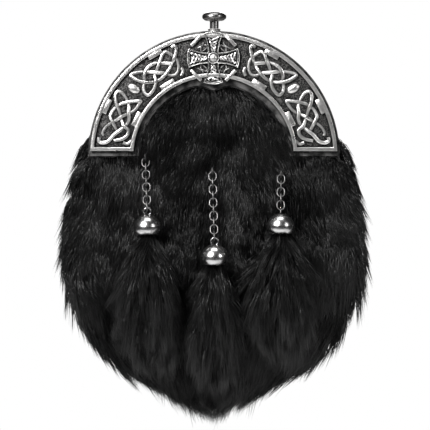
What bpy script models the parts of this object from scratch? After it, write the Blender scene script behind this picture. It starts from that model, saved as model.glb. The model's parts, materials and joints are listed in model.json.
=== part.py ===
"""A dress sporran pouch: a cast metal cantle over a fur-fronted leather pouch, with three fur tassels.

Metres, +Z up, front towards -Y. The origin lies on the rear face of the leather back, midway between the
two strap loops. The shapes below are measured from the middle of the cantle's straight base line, which
the empty sporran_base places under the origin.
"""

import math

import bmesh
import bpy
from mathutils import Matrix, Vector

MM = 0.001

# Clearances
GAP = 0.3 * MM
FUSE = 0.2 * MM
FLAT_ANGLE = math.radians(0.05)

# Cantle, seen from the front
CANTLE_RADIUS = 78.75 * MM
CANTLE_INNER_RADIUS = 45.3 * MM
CUSP_HALF_WIDTH = 12.5 * MM
CUSP_DROP = 4.5 * MM
TIER_STEP = 0.8 * MM
TOP_TIER_INSET = 1.6 * MM
TOP_TIER_INNER_INSET = 4.7 * MM
TOP_TIER_FOOT = 3.9 * MM
RIM_WIDTH = 2.4 * MM
NOTCH_LENGTH = 9.6 * MM
NOTCH_DEPTH = 3.0 * MM
ARC_STEPS = 24

# Cantle, front to back
FLANGE_THICKNESS = 1.6 * MM
MID_TIER_THICKNESS = 1.2 * MM
TOP_TIER_THICKNESS = 1.6 * MM
RIM_HEIGHT = 1.8 * MM
SKIRT_WALL = 1.9 * MM
SKIRT_GROOVE_WIDTH = 2.0 * MM
SKIRT_END_ANGLE = 25.0
SHOULDER_LEAD = 4.5
SKIRT_STEPS = 16

# Cross and its ring
CROSS_HEIGHT = 61.7 * MM
CROSS_REACH = 16.4 * MM
CROSS_END_HALF_WIDTH = 6.1 * MM
CROSS_WAIST_HALF_WIDTH = 3.3 * MM
CROSS_BORDER = 1.2 * MM
CROSS_RELIEF = 1.9 * MM
CROSS_BORDER_RELIEF = 0.6 * MM
RING_RADIUS = 16.4 * MM
RING_WIDTH = 2.5 * MM
BOSS_RADIUS = 3.1 * MM
BOSS_HEIGHT = 1.9 * MM

# Oval bosses between the knots
OVAL_ANGLE = 40.7
OVAL_RADIUS = 65.5 * MM
OVAL_LENGTH = 8.8 * MM
OVAL_WIDTH = 5.6 * MM
OVAL_HEIGHT = 1.9 * MM
OVAL_TILT = -12.0

# Knotwork strands
STRAND_WIDTH = 2.7 * MM
STRAND_HEIGHT = 1.5 * MM
WEAVE_HEIGHT = 0.3 * MM

# Knob
KNOB_HEAD_RADIUS = 7.6 * MM
KNOB_HEAD_HEIGHT = 6.2 * MM
KNOB_STEM_RADIUS = 2.75 * MM
KNOB_STEM_CLEARANCE = 0.3 * MM
KNOB_TRAVEL = 4.0 * MM
KNOB_TRAVEL_SPARE = 0.9 * MM
KNOB_FOOT_RADIUS = 3.8 * MM
KNOB_FOOT_THICKNESS = 1.5 * MM
COLLAR_RADIUS = 3.9 * MM
COLLAR_HEIGHT = 1.8 * MM
KNOB_SIDES = 14

# Pouch, front to back
LEATHER = 2.0 * MM
GUSSET_LEATHER = 1.6 * MM
MOUTH_DEPTH = 9.4 * MM
GUSSET_DEPTH = 23.0 * MM
BELLY_DEPTH = 33.0 * MM
BULGE_HEIGHT = 80.0 * MM

# Pouch outline
BODY_DROP = 160.5 * MM
BODY_HALF_WIDTH = 98.0 * MM
LEATHER_SIDE_INSET = 8.0 * MM
LEATHER_DROP_INSET = 9.0 * MM
PANEL_EDGE_CLEARANCE = 0.5 * MM
OUTLINE_CENTRE_SHARE = 0.30
LEATHER_POINTS = 36
LEATHER_RINGS = 4

# Fur front
PELT_THICKNESS = 2.0 * MM
FUR_PILE = 10.5 * MM
FUR_RISE = 13.0 * MM
FUR_POINTS = 2 * LEATHER_POINTS
FUR_RINGS = 8
TUFT_DEPTH = 3.0 * MM
TUFT_DROP = 3.5 * MM
EDGE_TUFT_LENGTH = 4.5 * MM

# Back frame and strap loops
BACK_FRAME_THICKNESS = 2.0 * MM
BACK_FRAME_WIDTH = 10.5 * MM
LOOP_CENTRE_X = 38.0 * MM
LOOP_CENTRE_HEIGHT = 24.0 * MM
LOOP_WIDTH = 15.0 * MM
LOOP_LENGTH = 34.0 * MM
LOOP_TAB = 5.0 * MM
LOOP_PASSAGE_DEPTH = 5.6 * MM
LOOP_LEATHER = 2.0 * MM

# Chains
WIRE = 1.0 * MM
LINK_LENGTH = 6.65 * MM
LINK_WIDTH = 5.2 * MM
LINK_SEGMENTS = 10
WIRE_SIDES = 5
EYE_SHANK_RADIUS = 1.0 * MM

# Tassels
CAP_RADIUS = 8.6 * MM
CAP_HEIGHT = 12.6 * MM
CAP_WALL = 1.4 * MM
CAP_SIDES = 12
TASSEL_CLEARANCE = 0.9 * MM
TASSEL_PRESS = 4.0 * MM
TASSEL_REACH = 5.5 * MM
TASSEL_LOCKS = 9

# The fur's outline, from the shoulders to the tip: drop as a share of BODY_DROP, half width as a share of
# BODY_HALF_WIDTH
OUTLINE_ROWS = (
    ("shoulder", -0.125, 0.790),
    ("upper_side", -0.065, 0.880),
    ("leg_level", 0.000, 0.905),
    ("side", 0.070, 0.937),
    ("side_full", 0.190, 0.965),
    ("widest", 0.375, 1.000),
    ("below_widest", 0.500, 0.985),
    ("hip", 0.600, 0.925),
    ("lower_side", 0.690, 0.855),
    ("lower_curve", 0.760, 0.800),
    ("corner", 0.815, 0.700),
    ("corner_low", 0.865, 0.545),
    ("point_start", 0.905, 0.400),
    ("point", 0.950, 0.255),
    ("point_low", 0.985, 0.115),
)

# One knot: the middle and half span of its angle in degrees, its middle radius as a share of
# CANTLE_RADIUS, its half depth as a share of the recess, turns along and across, how much it tapers
# towards its low-angle end, and how many points its strand has
KNOT_ROWS = (
    ("upper_knot", 60.0, 11.5, 0.797, 0.40, 2, 3, 0.35, 24),
    ("lower_knot", 22.0, 12.5, 0.795, 0.40, 2, 3, 0.10, 24),
)

# Flat widenings of the two rims: which rim, and the angle in degrees
NOTCH_ROWS = (
    ("outer", 60.5),
    ("outer", 25.5),
    ("inner", 57.8),
    ("inner", 26.5),
)

# The chains: where the eye sits, as shares of CANTLE_RADIUS to the right and up, the lean to the right as
# a share of the chain's length, and the number of links
CHAIN_ROWS = (
    ("left", -0.540, 0.000, 0.060, 8),
    ("middle", -0.005, -0.105, 0.040, 10),
    ("right", 0.536, -0.127, -0.010, 5),
)

# The tassels: length, half width and half thickness of the fur, and how far its tip lies to the right
TASSEL_SIZES = (
    ("left", 74.0 * MM, 20.5 * MM, 11.0 * MM, 6.0 * MM),
    ("middle", 65.0 * MM, 15.0 * MM, 10.0 * MM, 0.0 * MM),
    ("right", 68.0 * MM, 20.5 * MM, 11.0 * MM, -1.0 * MM),
)

# Sections of a tassel: share of its length, of its half width and of its half thickness
TASSEL_SECTIONS = (
    ("neck", 0.00, 0.36, 0.66),
    ("shoulder", 0.09, 0.60, 0.84),
    ("upper", 0.24, 0.84, 0.96),
    ("full", 0.44, 1.00, 1.00),
    ("lower", 0.64, 0.93, 0.92),
    ("hem", 0.82, 0.72, 0.72),
    ("tip", 0.94, 0.40, 0.46),
)

# Depths, front to back
BACK_PANEL_FRONT = -LEATHER
FRONT_PANEL_REAR_TOP = BACK_PANEL_FRONT - MOUTH_DEPTH
FRONT_PANEL_TOP = FRONT_PANEL_REAR_TOP - LEATHER
PELT_FRONT_TOP = FRONT_PANEL_TOP - GAP - PELT_THICKNESS
FLANGE_REAR = PELT_FRONT_TOP - GAP
FLANGE_FRONT = FLANGE_REAR - FLANGE_THICKNESS
MID_TIER_FRONT = FLANGE_FRONT - MID_TIER_THICKNESS
RECESS_FLOOR = MID_TIER_FRONT - TOP_TIER_THICKNESS
RIM_FRONT = RECESS_FLOOR - RIM_HEIGHT
MOUTH_MIDDLE = 0.5 * (BACK_PANEL_FRONT + FRONT_PANEL_REAR_TOP)

# Radii of the cantle
SKIRT_INNER_RADIUS = CANTLE_RADIUS - SKIRT_WALL
TOP_TIER_RADIUS = CANTLE_RADIUS - TOP_TIER_INSET
TOP_TIER_INNER_RADIUS = CANTLE_INNER_RADIUS + TOP_TIER_INNER_INSET
OUTER_RIM_INNER = TOP_TIER_RADIUS - RIM_WIDTH
INNER_RIM_OUTER = TOP_TIER_INNER_RADIUS + RIM_WIDTH
RECESS_WIDTH = OUTER_RIM_INNER - INNER_RIM_OUTER
PANEL_RADIUS = SKIRT_INNER_RADIUS - PANEL_EDGE_CLEARANCE

# Collections and the parent of every piece

for old in list(bpy.data.objects):
    bpy.data.objects.remove(old, do_unlink=True)

parts = bpy.data.collections.new("sporran_pouch")
cutters = bpy.data.collections.new("cutters")
bpy.context.scene.collection.children.link(parts)
bpy.context.scene.collection.children.link(cutters)
cutters.hide_render = True

base = bpy.data.objects.new("sporran_base", None)
base.location = (0, 0, -LOOP_CENTRE_HEIGHT)
parts.objects.link(base)


def finish(name, colour, roughness, metallic):
    """A Principled material of one colour."""
    material = bpy.data.materials.new(name)
    material.use_nodes = True
    shader = material.node_tree.nodes["Principled BSDF"]
    shader.inputs["Base Color"].default_value = (*colour, 1)
    shader.inputs["Roughness"].default_value = roughness
    shader.inputs["Metallic"].default_value = metallic
    return material


relief_silver = finish("relief_silver", (0.42, 0.41, 0.40), 0.38, 1.0)
polished_silver = finish("polished_silver", (0.55, 0.55, 0.56), 0.16, 1.0)
chain_silver = finish("chain_silver", (0.38, 0.38, 0.39), 0.30, 1.0)
black_leather = finish("black_leather", (0.020, 0.019, 0.018), 0.55, 0.0)
black_fur = finish("black_fur", (0.014, 0.013, 0.013), 0.75, 0.0)


def add_part(name, mesh, material, sharp_angle=40):
    """A named sub-part under the base empty, shaded smooth with sharp edges kept."""
    part = bpy.data.objects.new(name, mesh)
    mesh.name = name
    mesh.materials.clear()
    mesh.materials.append(material)
    mesh.shade_smooth()
    mesh.set_sharp_from_angle(angle=math.radians(sharp_angle))
    parts.objects.link(part)
    part.parent = base
    return part


def mesh_from(work):
    """The mesh of a bmesh, its normals made consistent; the bmesh is freed."""
    bmesh.ops.recalc_face_normals(work, faces=work.faces[:])
    mesh = bpy.data.meshes.new("shape")
    work.to_mesh(mesh)
    work.free()
    return mesh


def curve_to_mesh(curve, matrix):
    """The welded mesh that a curve makes, placed by the matrix."""
    holder = bpy.data.objects.new("curve", curve)
    cutters.objects.link(holder)
    holder.hide_render = True
    bpy.context.view_layer.update()
    graph = bpy.context.evaluated_depsgraph_get()
    mesh = bpy.data.meshes.new_from_object(holder.evaluated_get(graph))
    bpy.data.objects.remove(holder, do_unlink=True)
    work = bmesh.new()
    work.from_mesh(mesh)
    bpy.data.meshes.remove(mesh)
    bmesh.ops.remove_doubles(work, verts=work.verts[:], dist=1e-6)
    work.transform(matrix)
    return mesh_from(work)


def plate(outlines, rear, front):
    """A flat plate between two depths. Each outline is a list of (x, z); the second and later are holes."""
    curve = bpy.data.curves.new("outline", "CURVE")
    curve.dimensions = "2D"
    curve.fill_mode = "BOTH"
    curve.extrude = 0.5 * (rear - front)
    for points in outlines:
        spline = curve.splines.new("POLY")
        spline.points.add(len(points) - 1)
        for spot, (x, z) in zip(spline.points, points):
            spot.co = (x, z, 0, 1)
        spline.use_cyclic_u = True
    upright = Matrix.Translation((0, 0.5 * (rear + front), 0)) @ Matrix.Rotation(math.pi / 2, 4, "X")
    return curve_to_mesh(curve, upright)


def strand(points, width, root):
    """A closed strand of three-sided section: (x, z, top) points on its crest, its base at the root depth."""
    work = bmesh.new()
    rows = []
    for i, (x, z, top) in enumerate(points):
        before, after = points[i - 1], points[(i + 1) % len(points)]
        run_x, run_z = after[0] - before[0], after[1] - before[1]
        reach = 0.5 * width / math.hypot(run_x, run_z)
        rows.append(ring_of(work, (
            (x - run_z * reach, root, z + run_x * reach),
            (x, top, z),
            (x + run_z * reach, root, z - run_x * reach),
        )))
    for first, second in zip(rows, rows[1:] + rows[:1]):
        join_rings(work, first, second)
    return mesh_from(work)


def boolean(target, others, operation, self_crossing=False):
    """The mesh of the target after an exact union with the others, or their difference, one by one."""
    body = bpy.data.objects.new("body", target)
    cutters.objects.link(body)
    for other in others:
        tool = bpy.data.objects.new("tool", other)
        cutters.objects.link(tool)
        tool.hide_render = True
        tool.display_type = "WIRE"
        modifier = body.modifiers.new("boolean", "BOOLEAN")
        modifier.operation = operation
        modifier.solver = "EXACT"
        modifier.use_self = self_crossing
        modifier.object = tool
        bpy.context.view_layer.update()
        graph = bpy.context.evaluated_depsgraph_get()
        result = bpy.data.meshes.new_from_object(body.evaluated_get(graph))
        body.modifiers.clear()
        body.data = result
        bpy.data.objects.remove(tool, do_unlink=True)
    work = bmesh.new()
    work.from_mesh(body.data)
    bpy.data.objects.remove(body, do_unlink=True)
    bmesh.ops.dissolve_limit(work, angle_limit=FLAT_ANGLE, verts=work.verts[:], edges=work.edges[:])
    bmesh.ops.remove_doubles(work, verts=work.verts[:], dist=1e-6)
    return mesh_from(work)


def arc(radius, start, end, steps, centre=(0, 0)):
    """Points (x, z) on an arc, angles in degrees from +X."""
    angles = [math.radians(start + (end - start) * i / steps) for i in range(steps + 1)]
    return [(centre[0] + radius * math.cos(a), centre[1] + radius * math.sin(a)) for a in angles]


def half_ring(outer, inner, foot, cusp=False, steps=ARC_STEPS):
    """The outline of an arch with flat feet at the height foot, with a pointed cusp inside its crown."""
    outer_end = math.degrees(math.asin(foot / outer))
    inner_end = math.degrees(math.asin(foot / inner))
    points = arc(outer, outer_end, 180 - outer_end, steps)
    if not cusp:
        return points + arc(inner, 180 - inner_end, inner_end, steps)
    lean = math.degrees(math.asin(CUSP_HALF_WIDTH / inner))
    points += arc(inner, 180 - inner_end, 90 + lean, steps // 2)
    points += [(-0.4 * CUSP_HALF_WIDTH, inner - 0.6 * CUSP_DROP), (0, inner - CUSP_DROP)]
    points += [(0.4 * CUSP_HALF_WIDTH, inner - 0.6 * CUSP_DROP)]
    return points + arc(inner, 90 - lean, inner_end, steps // 2)


def skirt():
    """The wall behind the arch's outer edge, with one groove round it, spun over the crown."""
    groove_rear = 0.32 * FLANGE_REAR
    groove_front = groove_rear - SKIRT_GROOVE_WIDTH
    outside, inside = CANTLE_RADIUS, SKIRT_INNER_RADIUS
    profile = (
        (inside, 0.0), (outside, 0.0), (outside, groove_rear), (outside - TIER_STEP, groove_rear),
        (outside - TIER_STEP, groove_front), (outside, groove_front),
        (outside, FLANGE_REAR - FUSE), (inside, FLANGE_REAR - FUSE),
    )
    work = bmesh.new()
    start = math.radians(SKIRT_END_ANGLE)
    rows = []
    for i in range(SKIRT_STEPS + 1):
        angle = start + (math.pi - 2 * start) * i / SKIRT_STEPS
        rows.append(ring_of(work, [(r * math.cos(angle), y, r * math.sin(angle)) for r, y in profile]))
    for first, second in zip(rows, rows[1:]):
        join_rings(work, first, second)
    work.faces.new(rows[0])
    work.faces.new(rows[-1])
    return mesh_from(work)


def rotated_box(length, depth, rear, front, radius, angle):
    """A block that lies along the arch at an angle: length along it, depth towards the centre."""
    half = 0.5 * length
    corners = ((-half, radius - depth), (half, radius - depth), (half, radius), (-half, radius))
    turn = math.radians(angle - 90)
    cos, sin = math.cos(turn), math.sin(turn)
    outline = [(x * cos - z * sin, x * sin + z * cos) for x, z in corners]
    return plate([outline], rear, front)


def cross_outline(inset):
    """The outline of the cross: four arms that flare to gently rounded ends, drawn in by the inset."""
    reach = CROSS_REACH - inset
    waist = CROSS_WAIST_HALF_WIDTH - 0.6 * inset
    end = CROSS_END_HALF_WIDTH - inset
    shoulder = 0.94 * reach
    middle = 0.62 * reach
    flare = waist + 0.28 * (end - waist)
    arm = ((waist, waist), (middle, flare), (shoulder, end), (reach, 0), (shoulder, -end), (middle, -flare))
    points = []
    for quarter in range(4):
        turn = -0.5 * math.pi * quarter
        cos, sin = round(math.cos(turn)), round(math.sin(turn))
        points += [(x * cos - z * sin, x * sin + z * cos + CROSS_HEIGHT) for x, z in arm]
    return points


def dome(radius_x, radius_z, height, x, z, depth, turn=0.0, segments=12):
    """A low dome that stands on the plane at this depth, its lower half sunk in."""
    work = bmesh.new()
    bmesh.ops.create_uvsphere(work, u_segments=segments, v_segments=6, radius=1)
    scale = Matrix.Diagonal((radius_x, radius_z, height, 1))
    place = Matrix.Translation((x, depth, z)) @ Matrix.Rotation(-math.radians(turn), 4, "Y")
    work.transform(place @ Matrix.Rotation(math.pi / 2, 4, "X") @ scale)
    return mesh_from(work)


def knot_point(row, turn):
    """The place (x, z) of a knot's strand at a turn from 0 to 2 pi."""
    _, middle, half_span, radius_share, depth_share, along, across, taper, _ = row
    reach = math.cos(along * turn)
    swing = math.cos(across * turn + 0.5 * math.pi / along)
    narrowing = 1 - taper * max(0.0, -reach) ** 2
    angle = math.radians(middle + half_span * reach)
    radius = radius_share * CANTLE_RADIUS + depth_share * RECESS_WIDTH * swing * narrowing
    return radius * math.cos(angle), radius * math.sin(angle)


def crossings(row, samples=240):
    """The turns at which the strand passes over or under itself, in order."""
    spots = [knot_point(row, 2 * math.pi * i / samples) for i in range(samples)]
    found = []
    for i in range(samples):
        (ax, az), (bx, bz) = spots[i], spots[(i + 1) % samples]
        for j in range(i + 2, samples):
            if i == 0 and j == samples - 1:
                continue
            (cx, cz), (dx, dz) = spots[j], spots[(j + 1) % samples]
            across = (bx - ax) * (dz - cz) - (bz - az) * (dx - cx)
            if abs(across) < 1e-15:
                continue
            first = ((cx - ax) * (dz - cz) - (cz - az) * (dx - cx)) / across
            second = ((cx - ax) * (bz - az) - (cz - az) * (bx - ax)) / across
            if 0 <= first < 1 and 0 <= second < 1:
                found += [i + first, j + second]
    return sorted(2 * math.pi * spot / samples for spot in found)


def weave(turn, spots):
    """Between -1, under, and 1, over: it alternates from one crossing to the next."""
    count = len(spots)
    for i in range(count):
        start = spots[i]
        end = spots[(i + 1) % count] + (2 * math.pi if i == count - 1 else 0)
        here = turn + (2 * math.pi if turn < spots[0] and i == count - 1 else 0)
        if start <= here < end:
            sign = 1 if i % 2 == 0 else -1
            return sign * math.cos(math.pi * (here - start) / (end - start))
    return 0.0


def knot(row, mirror):
    """One closed strand, woven over and under itself, half sunk in the recess floor."""
    count = row[-1]
    spots = crossings(row)
    points = []
    for i in range(count):
        turn = 2 * math.pi * (i + 0.37) / count
        x, z = knot_point(row, turn)
        points.append((mirror * x, z, RECESS_FLOOR - STRAND_HEIGHT - WEAVE_HEIGHT * weave(turn, spots)))
    return strand(points, STRAND_WIDTH, RECESS_FLOOR + 2 * FUSE)


def make_cantle():
    """The cast arch: three tiers, rims, skirt, cross, bosses and knots, fused to one body."""
    mid_tier = half_ring(CANTLE_RADIUS - TIER_STEP, CANTLE_INNER_RADIUS + TIER_STEP, TIER_STEP, True)
    top_tier = half_ring(TOP_TIER_RADIUS, TOP_TIER_INNER_RADIUS, TOP_TIER_FOOT)
    recess = half_ring(OUTER_RIM_INNER, INNER_RIM_OUTER, TOP_TIER_FOOT + RIM_WIDTH)
    flange = plate([half_ring(CANTLE_RADIUS, CANTLE_INNER_RADIUS, 0, True)], FLANGE_REAR, FLANGE_FRONT)
    solid = boolean(flange, [
        plate([mid_tier], FLANGE_FRONT + FUSE, MID_TIER_FRONT),
        plate([top_tier], MID_TIER_FRONT + FUSE, RIM_FRONT),
        skirt(),
    ], "UNION")
    solid = boolean(solid, [plate([recess], RECESS_FLOOR, RIM_FRONT - RIM_HEIGHT)], "DIFFERENCE")
    shapes = []
    for which, angle in NOTCH_ROWS:
        for side in (angle, 180 - angle):
            if which == "outer":
                radius, depth = OUTER_RIM_INNER + FUSE, NOTCH_DEPTH
            else:
                radius, depth = INNER_RIM_OUTER + NOTCH_DEPTH - FUSE, NOTCH_DEPTH + FUSE
            shapes.append(rotated_box(NOTCH_LENGTH, depth, RECESS_FLOOR + FUSE, RIM_FRONT + FUSE, radius, side))
    centre = (0, CROSS_HEIGHT)
    ring = [arc(RING_RADIUS + 0.5 * RING_WIDTH * side, 7, 352, 23, centre) for side in (1, -1)]
    shapes.append(plate(ring, RECESS_FLOOR + FUSE, RIM_FRONT + 2 * FUSE))
    cross_front = RECESS_FLOOR - CROSS_RELIEF
    shapes.append(plate([cross_outline(0)], RECESS_FLOOR + FUSE, cross_front - CROSS_BORDER_RELIEF))
    solid = boolean(solid, shapes, "UNION")
    field = plate([cross_outline(CROSS_BORDER)], cross_front, cross_front - CROSS_RELIEF)
    solid = boolean(solid, [field], "DIFFERENCE")
    shapes = [dome(BOSS_RADIUS, BOSS_RADIUS, BOSS_HEIGHT, 0, CROSS_HEIGHT, cross_front, 7)]
    turn = math.radians(OVAL_ANGLE)
    for side in (1, -1):
        x, z = side * OVAL_RADIUS * math.cos(turn), OVAL_RADIUS * math.sin(turn)
        shapes.append(dome(0.5 * OVAL_LENGTH, 0.5 * OVAL_WIDTH, OVAL_HEIGHT, x, z, RECESS_FLOOR,
                           side * (OVAL_ANGLE + OVAL_TILT)))
    shapes.append(cylinder(COLLAR_RADIUS, SKIRT_INNER_RADIUS + FUSE, CANTLE_RADIUS + COLLAR_HEIGHT, KNOB_SIDES))
    solid = boolean(solid, shapes, "UNION")
    knots = [knot(row, side) for row in KNOT_ROWS for side in (1, -1)]
    solid = boolean(solid, knots, "UNION", self_crossing=True)
    bore = cylinder(KNOB_STEM_RADIUS + KNOB_STEM_CLEARANCE, SKIRT_INNER_RADIUS - COLLAR_HEIGHT,
                    CANTLE_RADIUS + 2 * COLLAR_HEIGHT, KNOB_SIDES)
    add_part("cantle", boolean(solid, [bore], "DIFFERENCE"), relief_silver, 30)


def cylinder(radius, low, high, sides, x=0.0, y=MOUTH_MIDDLE):
    """An upright cylinder between two heights."""
    work = bmesh.new()
    bmesh.ops.create_cone(work, cap_ends=True, segments=sides, radius1=radius, radius2=radius, depth=high - low)
    work.transform(Matrix.Translation((x, y, 0.5 * (low + high))))
    return mesh_from(work)


def turned(profile, sides, name, material, sharp_angle=40):
    """A turned piece: a profile of (radius, height) from top to bottom, spun by a Screw modifier."""
    mesh = bpy.data.meshes.new(name)
    mesh.from_pydata([(r, 0, z) for r, z in profile], [(i, i + 1) for i in range(len(profile) - 1)], [])
    part = add_part(name, mesh, material, sharp_angle)
    screw = part.modifiers.new("turn", "SCREW")
    screw.steps = sides
    screw.render_steps = sides
    screw.use_merge_vertices = True
    screw.merge_threshold = 0.00001
    return part


def make_knob():
    """The mushroom head, its stem through the collar, and the foot that keeps it in."""
    head_low = CANTLE_RADIUS + COLLAR_HEIGHT + KNOB_TRAVEL + KNOB_TRAVEL_SPARE
    foot_top = SKIRT_INNER_RADIUS - 2 * GAP
    foot_low = foot_top - KNOB_FOOT_THICKNESS
    profile = (
        (0.0, head_low + KNOB_HEAD_HEIGHT),
        (0.45 * KNOB_HEAD_RADIUS, head_low + 0.95 * KNOB_HEAD_HEIGHT),
        (0.82 * KNOB_HEAD_RADIUS, head_low + 0.74 * KNOB_HEAD_HEIGHT),
        (KNOB_HEAD_RADIUS, head_low + 0.45 * KNOB_HEAD_HEIGHT),
        (0.96 * KNOB_HEAD_RADIUS, head_low + 0.20 * KNOB_HEAD_HEIGHT),
        (0.70 * KNOB_HEAD_RADIUS, head_low),
        (KNOB_STEM_RADIUS, head_low),
        (KNOB_STEM_RADIUS, foot_top),
        (KNOB_FOOT_RADIUS, foot_top),
        (KNOB_FOOT_RADIUS, foot_low),
        (0.0, foot_low),
    )
    part = turned(profile, KNOB_SIDES, "knob", polished_silver)
    part.location = (0, MOUTH_MIDDLE, 0)


def outline(panel_radius, half_width, drop, count):
    """Even points (x, z) round the pouch, clockwise from the crown: arch above, table of rows below."""
    first = OUTLINE_ROWS[0]
    first_z = -first[1] * drop
    first_x = first[2] * half_width
    leave = SKIRT_END_ANGLE - SHOULDER_LEAD
    right = arc(panel_radius, 90, leave, 14)
    right.append((max(first_x, right[-1][0]), first_z))
    right += [(row[2] * half_width, -row[1] * drop) for row in OUTLINE_ROWS[1:]]
    points = right + [(0, -drop)] + [(-x, z) for x, z in reversed(right[1:])]
    lengths = [0.0]
    for i in range(len(points)):
        (ax, az), (bx, bz) = points[i], points[(i + 1) % len(points)]
        lengths.append(lengths[-1] + math.hypot(bx - ax, bz - az))
    even = []
    for k in range(count):
        place = lengths[-1] * k / count
        i = max(j for j in range(len(points)) if lengths[j] <= place + 1e-9)
        share = (place - lengths[i]) / (lengths[i + 1] - lengths[i])
        (ax, az), (bx, bz) = points[i], points[(i + 1) % len(points)]
        even.append((ax + share * (bx - ax), az + share * (bz - az)))
    return even


CENTRE = (0.0, -OUTLINE_CENTRE_SHARE * BODY_DROP)
LEATHER_OUTLINE = outline(PANEL_RADIUS, BODY_HALF_WIDTH - LEATHER_SIDE_INSET, BODY_DROP - LEATHER_DROP_INSET,
                          LEATHER_POINTS)
FUR_OUTLINE = outline(PANEL_RADIUS, BODY_HALF_WIDTH, BODY_DROP, FUR_POINTS)


def toward_centre(point, share):
    """The point at this share of the way from the pouch's centre to an outline point."""
    return tuple(c + share * (p - c) for c, p in zip(CENTRE, point))


def share_of(x, z, points):
    """How far (x, z) lies from the centre to the outline: 0 at the centre, 1 on the outline."""
    dx, dz = x - CENTRE[0], z - CENTRE[1]
    if math.hypot(dx, dz) < 1e-9:
        return 0.0
    for i, (ax, az) in enumerate(points):
        bx, bz = points[(i + 1) % len(points)]
        ex, ez = bx - ax, bz - az
        across = dx * ez - dz * ex
        if abs(across) < 1e-15:
            continue
        ray = ((ax - CENTRE[0]) * ez - (az - CENTRE[1]) * ex) / across
        along = ((ax - CENTRE[0]) * dz - (az - CENTRE[1]) * dx) / across
        if ray > 0 and -1e-9 <= along <= 1 + 1e-9:
            return 1 / ray
    return 1.0


def smooth(value):
    """A soft step from 0 to 1."""
    value = min(1.0, max(0.0, value))
    return value * value * (3 - 2 * value)


def panel_depth(z, share):
    """Depth of the leather front's outer face: flat at the mouth, swelling below it."""
    swell = smooth(-z / BULGE_HEIGHT)
    edge = GUSSET_DEPTH + FRONT_PANEL_TOP
    belly = BELLY_DEPTH - GUSSET_DEPTH
    return FRONT_PANEL_TOP - swell * (edge + belly * (1 - min(1.0, share) ** 2))


def beyond_cantle(x, z):
    """Distance in the front view from the cantle's arch, 0 under it."""
    if z >= 0:
        radius = math.hypot(x, z)
        return max(0.0, CANTLE_INNER_RADIUS - radius, radius - CANTLE_RADIUS)
    aside = max(0.0, CANTLE_INNER_RADIUS - abs(x), abs(x) - CANTLE_RADIUS)
    return math.hypot(z, aside)


def pressed(x, z):
    """How far the hanging tassels press the fur in at a place."""
    most = 0.0
    for chain, tassel in zip(CHAIN_ROWS, TASSEL_SIZES):
        run = chain[4] * LINK_LENGTH * 0.65
        middle = chain[1] * CANTLE_RADIUS + chain[3] * run
        start = chain[2] * CANTLE_RADIUS - run + CAP_HEIGHT
        end = start - CAP_HEIGHT - tassel[1]
        aside = smooth(1.5 - abs(x - middle) / (1.3 * tassel[2]))
        along = smooth((start - z) / CAP_HEIGHT) * smooth((z - end) / (2 * CAP_HEIGHT))
        most = max(most, aside * along)
    return TASSEL_PRESS * most


def fur_depth(x, z):
    """Depth of the fur's outer envelope: a thin pelt under the cantle, full pile elsewhere."""
    leather = panel_depth(z, share_of(x, z, LEATHER_OUTLINE))
    share = share_of(x, z, FUR_OUTLINE)
    rise = smooth(beyond_cantle(x, z) / FUR_RISE)
    edge = max(0.0, 1 - min(1.0, share) ** 5) ** 0.5
    pile = PELT_THICKNESS + (FUR_PILE - PELT_THICKNESS) * rise
    if z > 0 and math.hypot(x, z) < CANTLE_RADIUS:
        edge = 1.0
    return leather - GAP - max(0.2 * PELT_THICKNESS, pile * edge - pressed(x, z) * edge)


def ring_of(work, points):
    return [work.verts.new(point) for point in points]


def join_rings(work, first, second, crests=None):
    """Faces between two closed rings of one length, or a long ring twice the length of the short one.

    crests is 0 or 1 where every other point is a crest: the number of the first ring's first crest.
    Each quad is then split between its valleys, so that the crests stand alone.
    """
    count, other = len(first), len(second)
    if count == other:
        for i in range(count):
            j = (i + 1) % count
            if crests is not None and i % 2 == crests:
                work.faces.new((first[i], first[j], second[i]))
                work.faces.new((first[j], second[j], second[i]))
                continue
            work.faces.new((first[i], first[j], second[j]))
            work.faces.new((first[i], second[j], second[i]))
        return
    short, long = (first, second) if count < other else (second, first)
    for i in range(len(short)):
        j = (i + 1) % len(short)
        a, b, c = long[2 * i], long[2 * i + 1], long[(2 * i + 2) % len(long)]
        work.faces.new((short[i], b, a))
        work.faces.new((short[i], short[j], b))
        work.faces.new((short[j], c, b))


def close_ring(work, ring, point):
    """A fan from the last ring to its centre point."""
    tip = work.verts.new(point)
    for i, vert in enumerate(ring):
        work.faces.new((vert, ring[(i + 1) % len(ring)], tip))


def panel_rings(shift):
    """Rings of the leather front from its edge inwards, moved forward by the shift, and the centre point."""
    rings = []
    for k in range(LEATHER_RINGS):
        share = 1 - k / LEATHER_RINGS
        ring = []
        for point in LEATHER_OUTLINE:
            x, z = toward_centre(point, share)
            ring.append((x, panel_depth(z, share) - shift, z))
        rings.append(ring)
    centre = (CENTRE[0], panel_depth(CENTRE[1], 0.0) - shift, CENTRE[1])
    return rings, centre


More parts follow.
